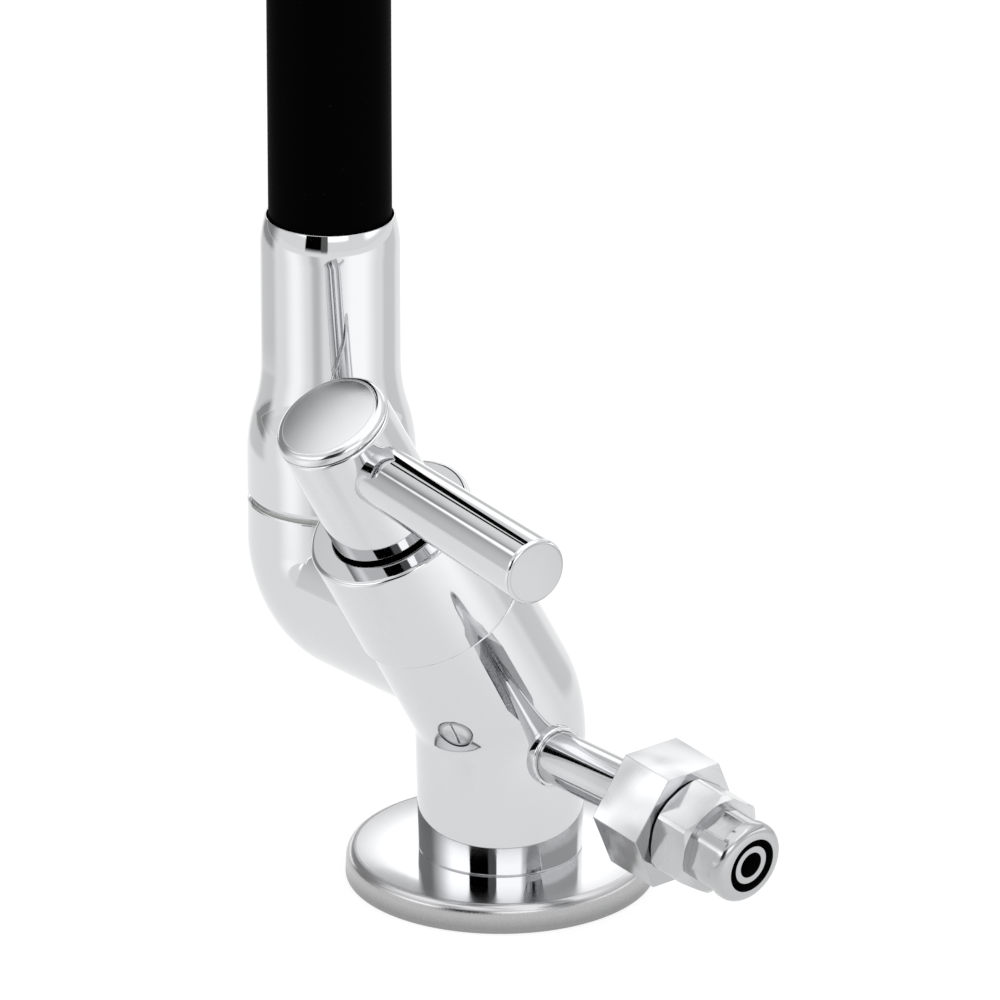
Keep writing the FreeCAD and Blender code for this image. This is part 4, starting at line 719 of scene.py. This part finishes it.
# %% Cut the body at its joints
NECK_END = 29.6
SEAM_TALL = 59.5
BODY_ENDS = [
    # a point on the plane, its outward direction, the edge's rounding and the range of Y that it cuts
    (np.array([0, 0, DISC_TALL]), np.array([0, 0, -1.0]), 0.3, (-30, 30)),
    (place(np.array([[0, 0, NECK_END]]), VALVE)[0], VALVE[:3, 2], 0.25, (-26, 30)),
    (np.array([0, -COLUMN_OFF, SEAM_TALL]), np.array([0, 0, 1.0]), 0.3, (-80, -30)),
]
body_mesh = bmesh.new()
net = build("tap_body_surface", net_points, [net_quads])
body_mesh.from_mesh(net.data)
for spot, way, edge, (y_from, y_to) in BODY_ENDS:
    for inside in (edge, edge * 0.65, edge * 0.35, edge * 0.12, 0.0):
        faces = [f for f in body_mesh.faces if y_from < f.calc_center_median().y / MM < y_to]
        nearby = dict.fromkeys(part for f in faces for part in (*f.verts, *f.edges))
        bmesh.ops.bisect_plane(body_mesh, geom=faces + list(nearby), dist=1e-8, plane_no=way,
                               plane_co=(spot - way * inside) * MM, clear_outer=inside == 0.0)
    rim = [e for e in body_mesh.edges if e.is_boundary]
    bmesh.ops.contextual_create(body_mesh, geom=rim)
body_mesh.to_mesh(net.data)
body_mesh.free()
print("after the cuts:", len(net.data.polygons), "faces")

# %% [markdown]
# A drilling in the neck is closed by a small screw, so the body gets a round recess for it. The recess is
# taken out with an exact boolean, for its edge runs over a curved wall that no row of the net follows.

# %% The recess of the plug screw
PLUG_AT, PLUG_ANGLE, PLUG_RAD = 9.6, 28.0, 3.4
PLUG = NECK @ move(0, 0, PLUG_AT) @ turn("Z", PLUG_ANGLE) @ turn("Y", 90)
PLUG_DEEP = TUBE_RAD - 0.8
cutter = turned("plug_cutter", [(0, PLUG_DEEP), (PLUG_RAD, PLUG_DEEP), (PLUG_RAD, 20), (0, 20)],
                PLUG, closed=False, around=96)


def carve(piece, tool):
    """Takes a tool's shape out of a piece for good and throws the tool away."""
    cut = piece.modifiers.new("cut", "BOOLEAN")
    cut.operation = "DIFFERENCE"
    cut.solver = "EXACT"
    cut.object = tool
    bpy.context.view_layer.update()
    carved = bpy.data.meshes.new_from_object(piece.evaluated_get(bpy.context.evaluated_depsgraph_get()))
    piece.modifiers.clear()
    piece.data = carved
    bpy.data.objects.remove(tool)
    return carved


carved = carve(net, cutter)
print("with the recess:", len(carved.polygons), "faces")

# %% [markdown]
# The cut mesh would be shaded from its facets, and a mirror shows every one of them. The distance gives the
# true normal instead: it is the direction in which the distance grows. Rows close to an end are drawn in and
# their normals turned, and faces that aren't on the cast skin, such as the recess, keep their flat ones.

# %% Exact normals for the body
points = read(carved.vertices, "co", 3) / MM
corners = read(carved.loops, "vertex_index", kind=int)
sizes = read(carved.polygons, "loop_total", kind=int)
flat = read(carved.polygons, "normal", 3)[np.repeat(np.arange(len(sizes)), sizes)]
smooth = slope(body_distance, points)
on_skin = np.abs(body_distance(points)) < 0.02
for spot, way, edge, (y_from, y_to) in BODY_ENDS:
    # The same small arc as in an outline: the nearer to the end, the further in and the more turned.
    depth = np.maximum(edge - (spot - points) @ way, 0) / edge
    near = on_skin & (depth > 0) & (depth < 1.001) & (points[:, 1] > y_from) & (points[:, 1] < y_to)
    turned_by = np.minimum(depth[near], 1)
    upright_share = np.sqrt(np.maximum(1 - turned_by ** 2, 0))
    sideways = smooth[near] - way * (smooth[near] @ way)[:, None]
    points[near] -= sideways * (edge * (1 - upright_share))[:, None]
    smooth[near] = sideways * upright_share[:, None] + way * turned_by[:, None]
carved.vertices.foreach_set("co", (points * MM).astype(np.float32).ravel())
corner_normals = smooth[corners]
off_skin = (corner_normals * flat).sum(axis=1) < 0.6
corner_normals[off_skin] = flat[off_skin]
carved.polygons.foreach_set("use_smooth", np.ones(len(carved.polygons), bool))
carved.normals_split_custom_set(corner_normals.astype(np.float32))
carved.update()
dress(net, "tap", chrome, "tap_body")

# %% [markdown]
# The plug screw closes a drilling in the neck. It was ground and polished together with the body, so its head
# is nearly level with the metal round it and its edge is soft. Its slot is sawn in with a boolean, because a
# straight slot doesn't follow the grid of a turned piece.

# %% The plug screw
PLUG_TOP, PLUG_FOOT = TUBE_RAD - 0.04, TUBE_RAD - 5.0
PLUG_SIDE = PLUG_RAD - 0.2


def ground_round(surface, outward):
    """Lowers a flat head to the tube's round, and leans its normals with it.

    At a distance y across the tube the drop is R less the root of R squared less y squared, and the normal
    leans by y over the same root.
    """
    across = surface[:, 1]
    root = np.sqrt(TUBE_RAD ** 2 - across ** 2)
    upper = surface[:, 2] > TUBE_RAD - 3
    surface = surface - np.stack([0 * root, 0 * root, (TUBE_RAD - root) * upper], axis=1)
    outward = outward + np.stack([0 * root, outward[:, 2] * across / root * upper, 0 * root], axis=1)
    return surface, outward / np.linalg.norm(outward, axis=1, keepdims=True)


plug = turned("plug_screw_surface", [
    (0, PLUG_FOOT), (PLUG_SIDE, PLUG_FOOT), (PLUG_SIDE, PLUG_TOP, 0.3), (0, PLUG_TOP)],
    PLUG, closed=False, around=96, step=0.3, shaped=ground_round)
SAW_WIDE, SAW_LONG, SAW_DEEP, SAW_TURN = 0.5, 5.2, 0.8, 86
half = np.array([SAW_WIDE / 2, SAW_LONG / 2])
saw = np.array([(x, y, z) for x in (-half[0], half[0]) for y in (-half[1], half[1])
                for z in (PLUG_TOP - SAW_DEEP, PLUG_TOP + 1)])
saw_faces = np.array([(0, 1, 3, 2), (4, 6, 7, 5), (0, 4, 5, 1), (2, 3, 7, 6), (0, 2, 6, 4), (1, 5, 7, 3)])
carve(plug, build("saw", place(saw, PLUG @ turn("Z", SAW_TURN)), [saw_faces]))
plug.data.polygons.foreach_set("use_smooth", np.ones(len(plug.data.polygons), bool))
plug.data.set_sharp_from_angle(angle=np.radians(30))


def plug_painted_shade_finish():
    """Ground chrome, dull near the edge, with painted shade: its colour darkens towards the edge, where the
    seam round the head lies in shade.
    """
    material, tree, shader = polished("plug_painted_shade_finish", low=0.1, high=0.16)
    radius = ring_place(tree, PLUG, 1.0)[1]
    # Painted shade: the colour darkens from the middle towards the head's edge.
    feed(shader, "Base Color", tint(tree, radius, 2.2, PLUG_SIDE, CHROME, (0.22, 0.22, 0.22)))
    return material


dress(plug, "tap", plug_painted_shade_finish(), "plug_screw")

# %% [markdown]
# ## The valve housing, the handle and its lever
#
# The housing screws onto the cast neck, and the handle's barrel turns in its mouth. The cap closes the
# barrel: a rim with a wide rounding and a shallow dome inside a crisp line. The lever is a plain bar that
# grows a little towards its end.

# %% Valve housing and handle
def darken(piece, matrix, finish, wanted):
    """Gives a second finish to the faces whose middle's radius and height in a frame are wanted."""
    middles = read(piece.data.polygons, "center", 3) / MM
    local = place(middles, np.linalg.inv(matrix))
    chosen = wanted(np.hypot(local[:, 0], local[:, 1]), local[:, 2])
    piece.data.materials.append(finish)
    piece.data.polygons.foreach_set("material_index", chosen.astype(np.int32))
    print(piece.name, "has", int(chosen.sum()), "faces in its second finish")


RIM_END, LIP_END = 51.9, 48.9
HOUSING_BORE, HOUSING_MOUTH = 12.2, 11.15
housing = lathe_piece("valve_housing", "tap", chrome, [
    (HOUSING_BORE, NECK_END), (TUBE_RAD, NECK_END, 0.25), (TUBE_RAD, RIM_END, 0.9),
    (HOUSING_MOUTH, RIM_END, 0.3), (HOUSING_MOUTH, LIP_END), (HOUSING_BORE, LIP_END)], VALVE)
# Painted shade: the bore inside the housing's mouth gets the near-black second finish.
darken(housing, VALVE, valve_mouth_painted_shade,
       lambda radius, height: (radius < HOUSING_BORE + 0.05) & (height < RIM_END - 0.3))

HUB_RAD, HUB_NECK, HUB_SEAT_RAD, HUB_END, CAP_SEAT = 10.72, 9.9, 8.0, 77.2, 75.0
HUB_LOW, HUB_STEP, SOCKET_RAD, SOCKET_END = 50.4, 52.65, 3.85, 62.0
WELL_RAD, WELL_FLOOR, SCREW_HOLE = 4.4, 63.6, 2.05
lathe_piece("handle_hub", "handle", chrome, [
    (SOCKET_RAD, HUB_LOW), (HUB_NECK, HUB_LOW, 0.3), (HUB_NECK, HUB_STEP), (HUB_RAD, HUB_STEP, 0.35),
    (HUB_RAD, HUB_END, 0.7), (HUB_SEAT_RAD, HUB_END), (HUB_SEAT_RAD, CAP_SEAT), (WELL_RAD, CAP_SEAT),
    (WELL_RAD, WELL_FLOOR), (SCREW_HOLE, WELL_FLOOR), (SCREW_HOLE, SOCKET_END),
    (SOCKET_RAD, SOCKET_END)], HANDLE)

CAP_PLUG, CAP_GROOVE_RAD = 7.95, 10.02
CAP_GROOVE, CAP_TOP, CAP_EDGE, CAP_DOME = 0.35, 79.45, 1.85, 0.45
dome_rad = HUB_RAD - CAP_EDGE
ball = (dome_rad ** 2 + CAP_DOME ** 2) / (2 * CAP_DOME)
dome_side = ball * np.tan(np.arcsin(dome_rad / ball) / 2)
lathe_piece("handle_cap", "handle", soft_chrome, [
    (0, CAP_SEAT), (CAP_PLUG, CAP_SEAT, 0.1), (CAP_PLUG, HUB_END), (CAP_GROOVE_RAD, HUB_END, 0.1),
    (CAP_GROOVE_RAD, HUB_END + CAP_GROOVE), (HUB_RAD, HUB_END + CAP_GROOVE, 0.12),
    (HUB_RAD, CAP_TOP, CAP_EDGE - 0.01), (dome_rad, CAP_TOP),
    (dome_side, CAP_TOP + CAP_DOME, ball - 0.5), (0, CAP_TOP + CAP_DOME)], HANDLE, closed=False)

LEVER_ROOT, LEVER_RAD, LEVER_END, LEVER_TIP = 5.6, 5.6, 58.2, 6.1
lever = lathe_piece("lever_bar", "handle", chrome, [
    (0, LEVER_ROOT), (LEVER_RAD, LEVER_ROOT, 0.1), (5.63, 9.5, 0.1), (LEVER_TIP, LEVER_END, 0.9),
    (0, LEVER_END)], LEVER, closed=False)
lever_end = lathe_turned("lever_end_finish", LEVER, (0.46, 0.462, 0.468), 0.16, 0.24, deep=0.0012)
darken(lever, LEVER, lever_end, lambda radius, height: height > LEVER_END - 0.1)

# %% [markdown]
# ## The supply pipe and its fittings
#
# The water comes in by a drawn pipe, let into the foot with a small collar round its root, and bent a few
# degrees downwards before its nut. It is an outline on a bent centreline. Faint marks run round it, which the
# polished casting hasn't, so it has a finish of its own.

# %% Pipe and collar
BORE_RAD, PIPE_RAD, PIPE_HOLE = 4.0, 5.0, 5.05
PIPE_LEN = PIPE_STRAIGHT + PIPE_BEND * DROOP + 6.0
lathe_piece("inlet_pipe", "tap", pipe_chrome, [
    (BORE_RAD, 0), (PIPE_RAD, 0), (PIPE_RAD, PIPE_LEN), (BORE_RAD, PIPE_LEN)], PIPE,
    around=128, line=bent(PIPE_STRAIGHT, PIPE_BEND, PIPE_DROOP), step=0.8)
ROOT_RAD, ROOT_LOW, ROOT_HIGH = 5.8, 13.4, 16.7
lathe_piece("pipe_collar", "tap", chrome, [
    (PIPE_HOLE, ROOT_LOW), (ROOT_RAD, ROOT_LOW), (ROOT_RAD, ROOT_HIGH, 0.45), (PIPE_HOLE, ROOT_HIGH)],
    move(0, 0, PIPE_TALL) @ turn("X", -90), around=128)

# %% [markdown]
# The three fittings are bar stock with flats. Their outline isn't the same all the way round: each angle has
# its own, because the flat's distance from the axis changes with the angle. So here the radius is a function
# of two parameters, the angle and the place on the outline, and the rows of the grid follow the real edges.

# %% Hexagons
def flat_radius(angle, half_flats, corner_at):
    """Distance of a hexagon's side from the axis.

    It is half the width across flats over the cosine of the angle from the middle of the nearest side.
    """
    from_middle = np.mod(angle - corner_at, np.pi / 3) - np.pi / 6
    return half_flats / np.cos(from_middle)


def hexagon_angles(half_flats, corner_at, extra=(), each=20):
    """Angles that divide each side evenly and include its corners and some extra angles from its middle."""
    even = np.arctan(np.linspace(-1, 1, each + 1)[:-1] * np.tan(np.pi / 6))
    special = np.array([sign * e for e in extra for sign in (-1, 1)])
    one = np.unique(np.round(np.concatenate([even, special]), 9))
    middles = corner_at + np.pi / 6 + np.arange(6) * np.pi / 3
    return (middles[:, None] + one[None, :]).ravel()


SHARP = np.radians(25)


def wrapped(solid, angles, pairs, edge, low=0.0):
    """A ring of bar stock on the supply fitting's axis, standing for a solid, from rows of radius and height.

    Each is a number or one value for each angle. Doubled points are merged, edges of more than 25 degrees
    stay sharp, and a narrow bevel catches the light.
    """
    radii, heights = [np.stack([np.broadcast_to(pair[k], angles.shape) for pair in pairs]) for k in (0, 1)]
    surface = np.stack([radii * np.cos(angles), radii * np.sin(angles), heights + low], axis=2)
    faces = grid_faces(len(radii), len(angles), True)
    piece = build(solid + "_surface", place(surface.reshape(-1, 3), FITTING), [faces])
    work = bmesh.new()
    work.from_mesh(piece.data)
    bmesh.ops.remove_doubles(work, verts=work.verts[:], dist=2e-6)
    bmesh.ops.recalc_face_normals(work, faces=work.faces[:])
    work.to_mesh(piece.data)
    work.free()
    piece.data.polygons.foreach_set("use_smooth", np.ones(len(piece.data.polygons), bool))
    piece.data.set_sharp_from_angle(angle=SHARP)
    bevel = piece.modifiers.new("broken edges", "BEVEL")
    bevel.width = edge * MM
    bevel.segments = 2
    bevel.limit_method = "ANGLE"
    bevel.angle_limit = SHARP
    bevel.harden_normals = True
    return dress(piece, "tap", nut_chrome, solid)


# %% The socket nut
NUT_A_TURN, NUT_A_HALF = np.radians(35.0), 11.0
NUT_A_LOW, NUT_A_HIGH = 0.4, 11.7
SEAT_RAD, SEAT_FLOOR = 6.6, 6.0
angles = hexagon_angles(NUT_A_HALF, NUT_A_TURN)
side = flat_radius(angles, NUT_A_HALF, NUT_A_TURN)
wrapped("socket_nut", angles, [
    (PIPE_HOLE, NUT_A_LOW), (side * 0.75, NUT_A_LOW), (side, NUT_A_LOW), (side, 4.2), (side, 8.0),
    (side, NUT_A_HIGH), (side * 0.75, NUT_A_HIGH), (SEAT_RAD, NUT_A_HIGH), (SEAT_RAD, SEAT_FLOOR),
    (PIPE_HOLE, SEAT_FLOOR)], 0.12)

# %% The fitting's hexagon and its hose spigot
NUT_B_TURN, NUT_B_HALF = np.radians(5.3), 8.9
NUT_B_LOW, NUT_B_LEN = 12.05, 8.25
TURNED_TO, TURNED_FACE, TURNED_LEN = 10.0, 9.0, 0.66
SCREWED_RAD, THREAD_RAD, SPIGOT_OUT, SPIGOT_BORE = 6.55, 5.55, 3.7, 2.5
angles = hexagon_angles(NUT_B_HALF, NUT_B_TURN,
                        extra=[np.arccos(NUT_B_HALF / rad) for rad in (TURNED_TO, TURNED_FACE)])
side = np.minimum(flat_radius(angles, NUT_B_HALF, NUT_B_TURN), TURNED_TO)
face = np.minimum(side, TURNED_FACE)
cone = TURNED_LEN * (side - face) / (TURNED_TO - TURNED_FACE)
top = NUT_B_LOW + NUT_B_LEN
nut_b = wrapped("inlet_fitting", angles, [
    (SPIGOT_BORE, NUT_B_LOW - 4), (SCREWED_RAD, NUT_B_LOW - 4), (SCREWED_RAD, NUT_B_LOW),
    (face * 0.9, NUT_B_LOW), (face, NUT_B_LOW), (side, NUT_B_LOW + cone), (side, NUT_B_LOW + 3.8),
    (side, top - cone), (face, top), (face * 0.85, top), (THREAD_RAD, top), (THREAD_RAD, top + 3.9),
    (SPIGOT_OUT, top + 4.7), (SPIGOT_OUT, top + 8.3), (SPIGOT_BORE, top + 8.3)], 0.1)
# Painted shade: the bore and the spigot's wall down in the union nut's mouth get the near-black second
# finish.
darken(nut_b, FITTING, fitting_bore_painted_shade,
       lambda radius, height: (radius < 2.7) | ((radius < 5.2) & (height < top + 7.9)))

SEAL_RAD, SEAL_GAP = 8.5, 0.02
seal_low, seal_high = NUT_A_HIGH + SEAL_GAP, NUT_B_LOW - SEAL_GAP
lathe_piece("fitting_seal", "tap", seal_rubber, [
    (SEAT_RAD, seal_low), (SEAL_RAD, seal_low), (SEAL_RAD, seal_high), (SEAT_RAD, seal_high)],
    FITTING, slot="seal_rubber")

# %% The union nut
UNION_LOW, UNION_RAD, UNION_HALF, UNION_LEN, FLAT_LEN, NOSE = 20.3, 7.75, 7.25, 8.6, 5.9, 1.9
angles = hexagon_angles(UNION_HALF, 0.0, extra=[np.arccos(UNION_HALF / UNION_RAD)])
side = np.minimum(flat_radius(angles, UNION_HALF, 0.0), UNION_RAD)
bow = np.linspace(0, np.pi / 2, 9)
nose = [(UNION_RAD - NOSE + NOSE * np.cos(a), UNION_LEN - NOSE + NOSE * np.sin(a)) for a in bow]
union = wrapped("union_nut", angles, [
    (5.6, 0.0), (side * 0.9, 0.0), (side, 0.0), (side, 2.9), (side, FLAT_LEN), (UNION_RAD, FLAT_LEN), *nose,
    (5.2, UNION_LEN), (5.2, 5.7), (5.6, 5.3)], 0.08, low=UNION_LOW)
# Painted shade: the union nut's inside gets the near-black second finish.
darken(union, FITTING, fitting_bore_painted_shade, lambda radius, height: radius < 5.3)

# %% [markdown]
# ## The spout's column and the hose
#
# The column turns on the elbow with a fine joint between them. Two equal bows, one hollow and one round,
# lead from its foot to the narrower collar that grips the hose. Each bow is the rounding of one corner of the
# outline: its radius comes from how far the flare reaches up and how far it steps in.

# %% The column
FLARE_HALF, FLARE_STEP = 9.1, 1.365
FLARE_BOW = (FLARE_HALF ** 2 + FLARE_STEP ** 2) / (2 * FLARE_STEP)
flare_reach = FLARE_BOW * np.tan(np.arcsin(FLARE_HALF / FLARE_BOW) / 2)
COLUMN_LOW, NIPPLE_BORE, SHELF_TALL = 60.18, 9.08, 77.5
COLLAR_RAD, COLLAR_TOP, MOUTH_RAD, MOUTH_FLOOR, HOSE_WAY = 12.97, 115.2, 11.77, 97.0, 10.9
lathe_piece("spout_column", "spout", chrome, [
    (NIPPLE_BORE, COLUMN_LOW), (15.15, COLUMN_LOW, 0.1), (ELBOW_RAD, 61.28, 0.4),
    (ELBOW_RAD, 68.4 + flare_reach, FLARE_BOW - 0.3), (COLLAR_RAD, 86.6 - flare_reach, FLARE_BOW - 0.3),
    (COLLAR_RAD, 112.2, 19.5), (12.0, COLLAR_TOP, 0.15), (MOUTH_RAD, COLLAR_TOP), (MOUTH_RAD, MOUTH_FLOOR),
    (HOSE_WAY, MOUTH_FLOOR), (HOSE_WAY, SHELF_TALL), (NIPPLE_BORE, SHELF_TALL)], COLUMN)

# %% [markdown]
# The hose stands straight, makes half a circle and comes down a little. Its steel core holds the bend that a
# hand gives it, so it isn't a free cord: it rides on the spout as one tube. Like the pipe it is an outline on
# a bent centreline, with many points along both walls, because the inner one has to follow the arch too.

# %% The hose
HOSE_RAD, HOSE_BORE = 11.4, 9.0
HOSE_STRAIGHT = HOSE_TOP - HOSE_FOOT
HOSE_LEN = HOSE_STRAIGHT + np.pi * HOSE_ARCH + HOSE_DROP
lathe_piece("hose_sleeve", "spout", hose_rubber, [
    (HOSE_BORE, 0), (HOSE_RAD, 0, 0.3), (HOSE_RAD, HOSE_LEN, 0.3), (HOSE_BORE, HOSE_LEN)], HOSE,
    slot="hose_rubber", around=128, line=bent(HOSE_STRAIGHT, HOSE_ARCH, 180), step=2.5)

# %% [markdown]
# A chromed sleeve closes the hose's far end and holds the aerator, a turned shell round a plastic insert.
# Both are plain lathe pieces, worked out in a frame that looks down.

# %% The outlet
lathe_piece("outlet_sleeve", "spout", chrome, [
    (MOUTH_RAD, -19, 0.3), (COLLAR_RAD, -19, 0.3), (COLLAR_RAD, -2, 12), (12.2, 15, 0.6), (11.25, 15),
    (11.25, 9), (10.25, 9), (10.25, 0), (MOUTH_RAD, 0)], OUTLET)
lathe_piece("aerator_shell", "spout", chrome, [
    (9.9, 9.9), (11.2, 9.9), (11.2, 18.2, 0.5), (9.1, 18.2, 0.2), (9.1, 17.2), (9.9, 17.2)], OUTLET)

# %% [markdown]
# ## The studio
#
# The camera stands about two metres off with a long lens, 22 degrees above the tap, as its ellipses in the
# photograph tell. The tap is chrome, so the studio is most of its picture: a white floor, a white world that
# mirrors find brighter overhead, and cards, some dark and some bright, that stand in the reflections. The
# floor and the world show white to the camera and to mirrors, and light the matt rubber at a plain level.

# %% Camera
scene = bpy.context.scene
TARGET = np.array([0, 0, 73.787])
ELEVATION = np.radians(22.0238)
TOWARDS = np.array([0.636078, 0.771625])
DISTANCE = 1909.09
eye = TARGET + DISTANCE * np.append(np.cos(ELEVATION) * TOWARDS, np.sin(ELEVATION))
camera_data = bpy.data.cameras.new("camera")
camera = bpy.data.objects.new("camera", camera_data)
scene.collection.objects.link(camera)
scene.camera = camera
camera_data.sensor_width = 36
camera_data.lens = 378
camera_data.shift_x = -0.000446
camera_data.clip_end = 20
back = (eye - TARGET) / DISTANCE
right = np.cross([0, 0, 1], back)
right = right / np.linalg.norm(right)
looking = np.eye(4)
looking[:3] = np.stack([right, np.cross(back, right), back, eye * MM], axis=1)
camera.matrix_world = looking.T.tolist()

# %% Floor and world
def seen_by_eye_or_mirror(tree):
    """1 for a ray from the camera, a mirror or glass, and 0 for one that gathers light for a matt surface."""
    path = node(tree, "ShaderNodeLightPath").outputs
    either = maths(tree, "MAXIMUM", path["Is Camera Ray"], path["Is Glossy Ray"])
    return maths(tree, "MAXIMUM", either, path["Is Transmission Ray"])


# What the floor and the world give off: first to matt surfaces, then to the camera and mirrors.
FLOOR_GLOW, WORLD_GLOW = (0.3, 0.76), (0.6, 1.0)
FLOOR_HALF, FLOOR_DROP, FLOOR_SIDE = 3000.0, 0.02, 9
across = np.linspace(-FLOOR_HALF, FLOOR_HALF, FLOOR_SIDE)
spots = np.stack(np.meshgrid(across, across, [-FLOOR_DROP], indexing="ij"), axis=-1).reshape(-1, 3)
floor = build("floor", spots, [sheet_faces(FLOOR_SIDE)])
floor_material, floor_tree, floor_shader = new_material("floor_paper", (0.5, 0.5, 0.5), 0.0, 0.9)
floor_shader.inputs["Emission Color"].default_value = (1, 1, 1, 1)
floor_shader.inputs["Specular IOR Level"].default_value = 0.0
floor_light = ranged(floor_tree, seen_by_eye_or_mirror(floor_tree), 0, 1, *FLOOR_GLOW)
feed(floor_shader, "Emission Strength", floor_light)
floor.data.materials.append(floor_material)

OVERHEAD = 0.55
world = bpy.data.worlds.new("studio")
scene.world = world
world.use_nodes = True
sky_tree = world.node_tree
sky = sky_tree.nodes["Background"]
sky.inputs["Color"].default_value = (1, 1, 1, 1)
plain = ranged(sky_tree, seen_by_eye_or_mirror(sky_tree), 0, 1, *WORLD_GLOW)
# Mirrors also find a large soft box overhead: from about 45 degrees up the sky is half as bright again.
direction = node(sky_tree, "ShaderNodeTexCoord").outputs["Generated"]
box = ranged(sky_tree, axis_of(sky_tree, direction, "Z"), 0.68, 0.84, 0, OVERHEAD)
in_mirror = maths(sky_tree, "MULTIPLY", box, node(sky_tree, "ShaderNodeLightPath").outputs["Is Glossy Ray"])
feed(sky, "Strength", maths(sky_tree, "ADD", plain, in_mirror))
scene.view_settings.view_transform = "Standard"

# %% [markdown]
# A photographer puts white and black boards round chrome to draw its form. Each board here is a curved card
# that only mirrors see, so it shapes the reflections and adds no light to anything matt. Its glow fades
# towards its edges like that of a soft box, which gives the chrome its soft steps from white to grey.

# %% Cards and light boxes
STUDIO_MIDDLE, POOL_MIDDLE = np.array([0, -20, 110.0]), np.array([0, -20, 0.4])
CAMERA_TURN = np.degrees(np.arctan2(TOWARDS[1], TOWARDS[0]))


def outward_from(around, up):
    """The direction so many degrees to the right of the camera and so many above the horizon."""
    angle, height = np.radians(CAMERA_TURN + around), np.radians(up + 0 * around)
    return np.stack([np.cos(height) * np.cos(angle), np.cos(height) * np.sin(angle), np.sin(height)], axis=-1)


def soft_card(name, place_at, strength, fades, cells=16):
    """A curved card that only mirrors see, whose glow fades to nothing towards its edges.

    The card is a grid over u and v from -1 to 1, and place_at gives the point for each pair. The glow is its
    strength, times a smooth step down over the last share of u, times the same for v.
    """
    u, v = np.meshgrid(*[np.linspace(-1, 1, cells + 1)] * 2, indexing="ij")
    quads = sheet_faces(cells + 1)
    piece = build(name, place_at(u, v).reshape(-1, 3), [quads])
    layer = piece.data.uv_layers.new(name="across")
    layer.data.foreach_set("uv", np.stack([u.ravel(), v.ravel()], axis=1)[quads.ravel()].ravel())
    material = bpy.data.materials.new(name + "_glow")
    material.use_nodes = True
    tree = material.node_tree
    tree.nodes.clear()
    place_on = node(tree, "ShaderNodeUVMap").outputs["UV"]
    steps = []
    for axis, share in zip("XY", fades):
        away = maths(tree, "ABSOLUTE", axis_of(tree, place_on, axis))
        steps.append(ranged(tree, away, 1 - share, 1, 1, 0))
        steps[-1].node.interpolation_type = "SMOOTHSTEP"
    solid = maths(tree, "MULTIPLY", *steps)
    glow = node(tree, "ShaderNodeEmission", Strength=strength).outputs[0]
    clear = node(tree, "ShaderNodeBsdfTransparent").outputs[0]
    mixed = node(tree, "ShaderNodeMixShader", {0: solid, 1: clear, 2: glow}).outputs[0]
    node(tree, "ShaderNodeOutputMaterial", {"Surface": mixed})
    piece.data.materials.append(material)
    piece.visible_camera = False
    piece.visible_diffuse = False
    piece.visible_shadow = False


# %% Standing cards
STANDING = [
    # name, degrees right of the camera, half its width, degrees up, half its height, distance, strength,
    # fades across and up, and how many degrees its right end is higher than its left
    ("dark_edge", -10, 6.5, 13, 18, 820, 0.14, (0.3, 0.35), 0),
    ("black_flag", -24, 19, 13, 18, 830, 0.0, (0.08, 0.35), 0),
    ("dark_flag", -46, 15, 47, 9, 900, 0.35, (0.5, 0.6), 0),
    ("left_box", -58, 40, 18, 9, 1000, 2.4, (0.8, 0.7), 0),
    ("right_box", 12, 22, 18, 10, 1000, 2.2, (0.3, 0.5), 0),
    ("high_box", 60, 48, 51, 8, 1000, 2.3, (0.3, 0.7), 26),
    ("low_box", 88, 32, 9, 7, 1000, 1.9, (0.5, 0.7), 0),
    ("grey_wall", -135, 45, 14, 32, 950, 0.32, (0.55, 0.4), 0),
    ("grey_strip", 90, 48, 19.5, 3.2, 900, 0.62, (0.1, 0.3), 0),
    ("back_box", 166, 34, 24, 10, 1000, 1.7, (0.4, 0.5), 0),
    ("back_grey", 180, 22, 6, 9, 1010, 0.72, (0.5, 0.5), 0),
    ("low_back_box", -150, 20, 1, 7, 940, 1.7, (0.4, 0.5), 0),
    ("slit_box", -108, 6, 38, 11, 940, 1.7, (0.5, 0.5), 0),
]
for name, around, half_wide, up, half_tall, distance, strength, fades, lean in STANDING:
    soft_card(name, lambda u, v: STUDIO_MIDDLE + distance * outward_from(
        around + u * half_wide, up + v * half_tall + u * lean / 2), strength, fades)
print(len(STANDING), "cards stand round the tap")

# %% [markdown]
# Upright chrome seen from above reflects the paper in front of it, not the boards. So patches of the paper
# are made brighter or dimmer for mirrors only, in the directions where the tap's walls look.

# %% Pools of light on the paper
POOLS = [
    # name, degrees right of the camera, half its width, nearest and farthest edge, strength, fades
    ("left_pool", -63, 24, 40, 900, 1.4, (0.95, 0.35)),
    ("right_pool", 46, 44, 50, 900, 1.45, (0.8, 0.35)),
    ("back_pool", 178, 12, 190, 900, 1.4, (0.8, 0.3)),
    ("dim_pool", -27, 14, 50, 900, 0.7, (0.9, 0.3)),
    ("dim_left_pool", -127, 30, 230, 520, 0.8, (0.5, 0.3)),
    ("dark_left_pool", -127, 30, 430, 940, 0.38, (0.5, 0.25)),
    ("dim_right_pool", 118, 24, 150, 900, 0.84, (0.5, 0.2)),
]
for name, around, half_wide, near, far, strength, fades in POOLS:
    soft_card(name, lambda u, v: POOL_MIDDLE + outward_from(around + u * half_wide, 0) * (
        (near + far) / 2 + v * (far - near) / 2)[..., None], strength, fades)
print(len(POOLS), "pools lie on the paper")
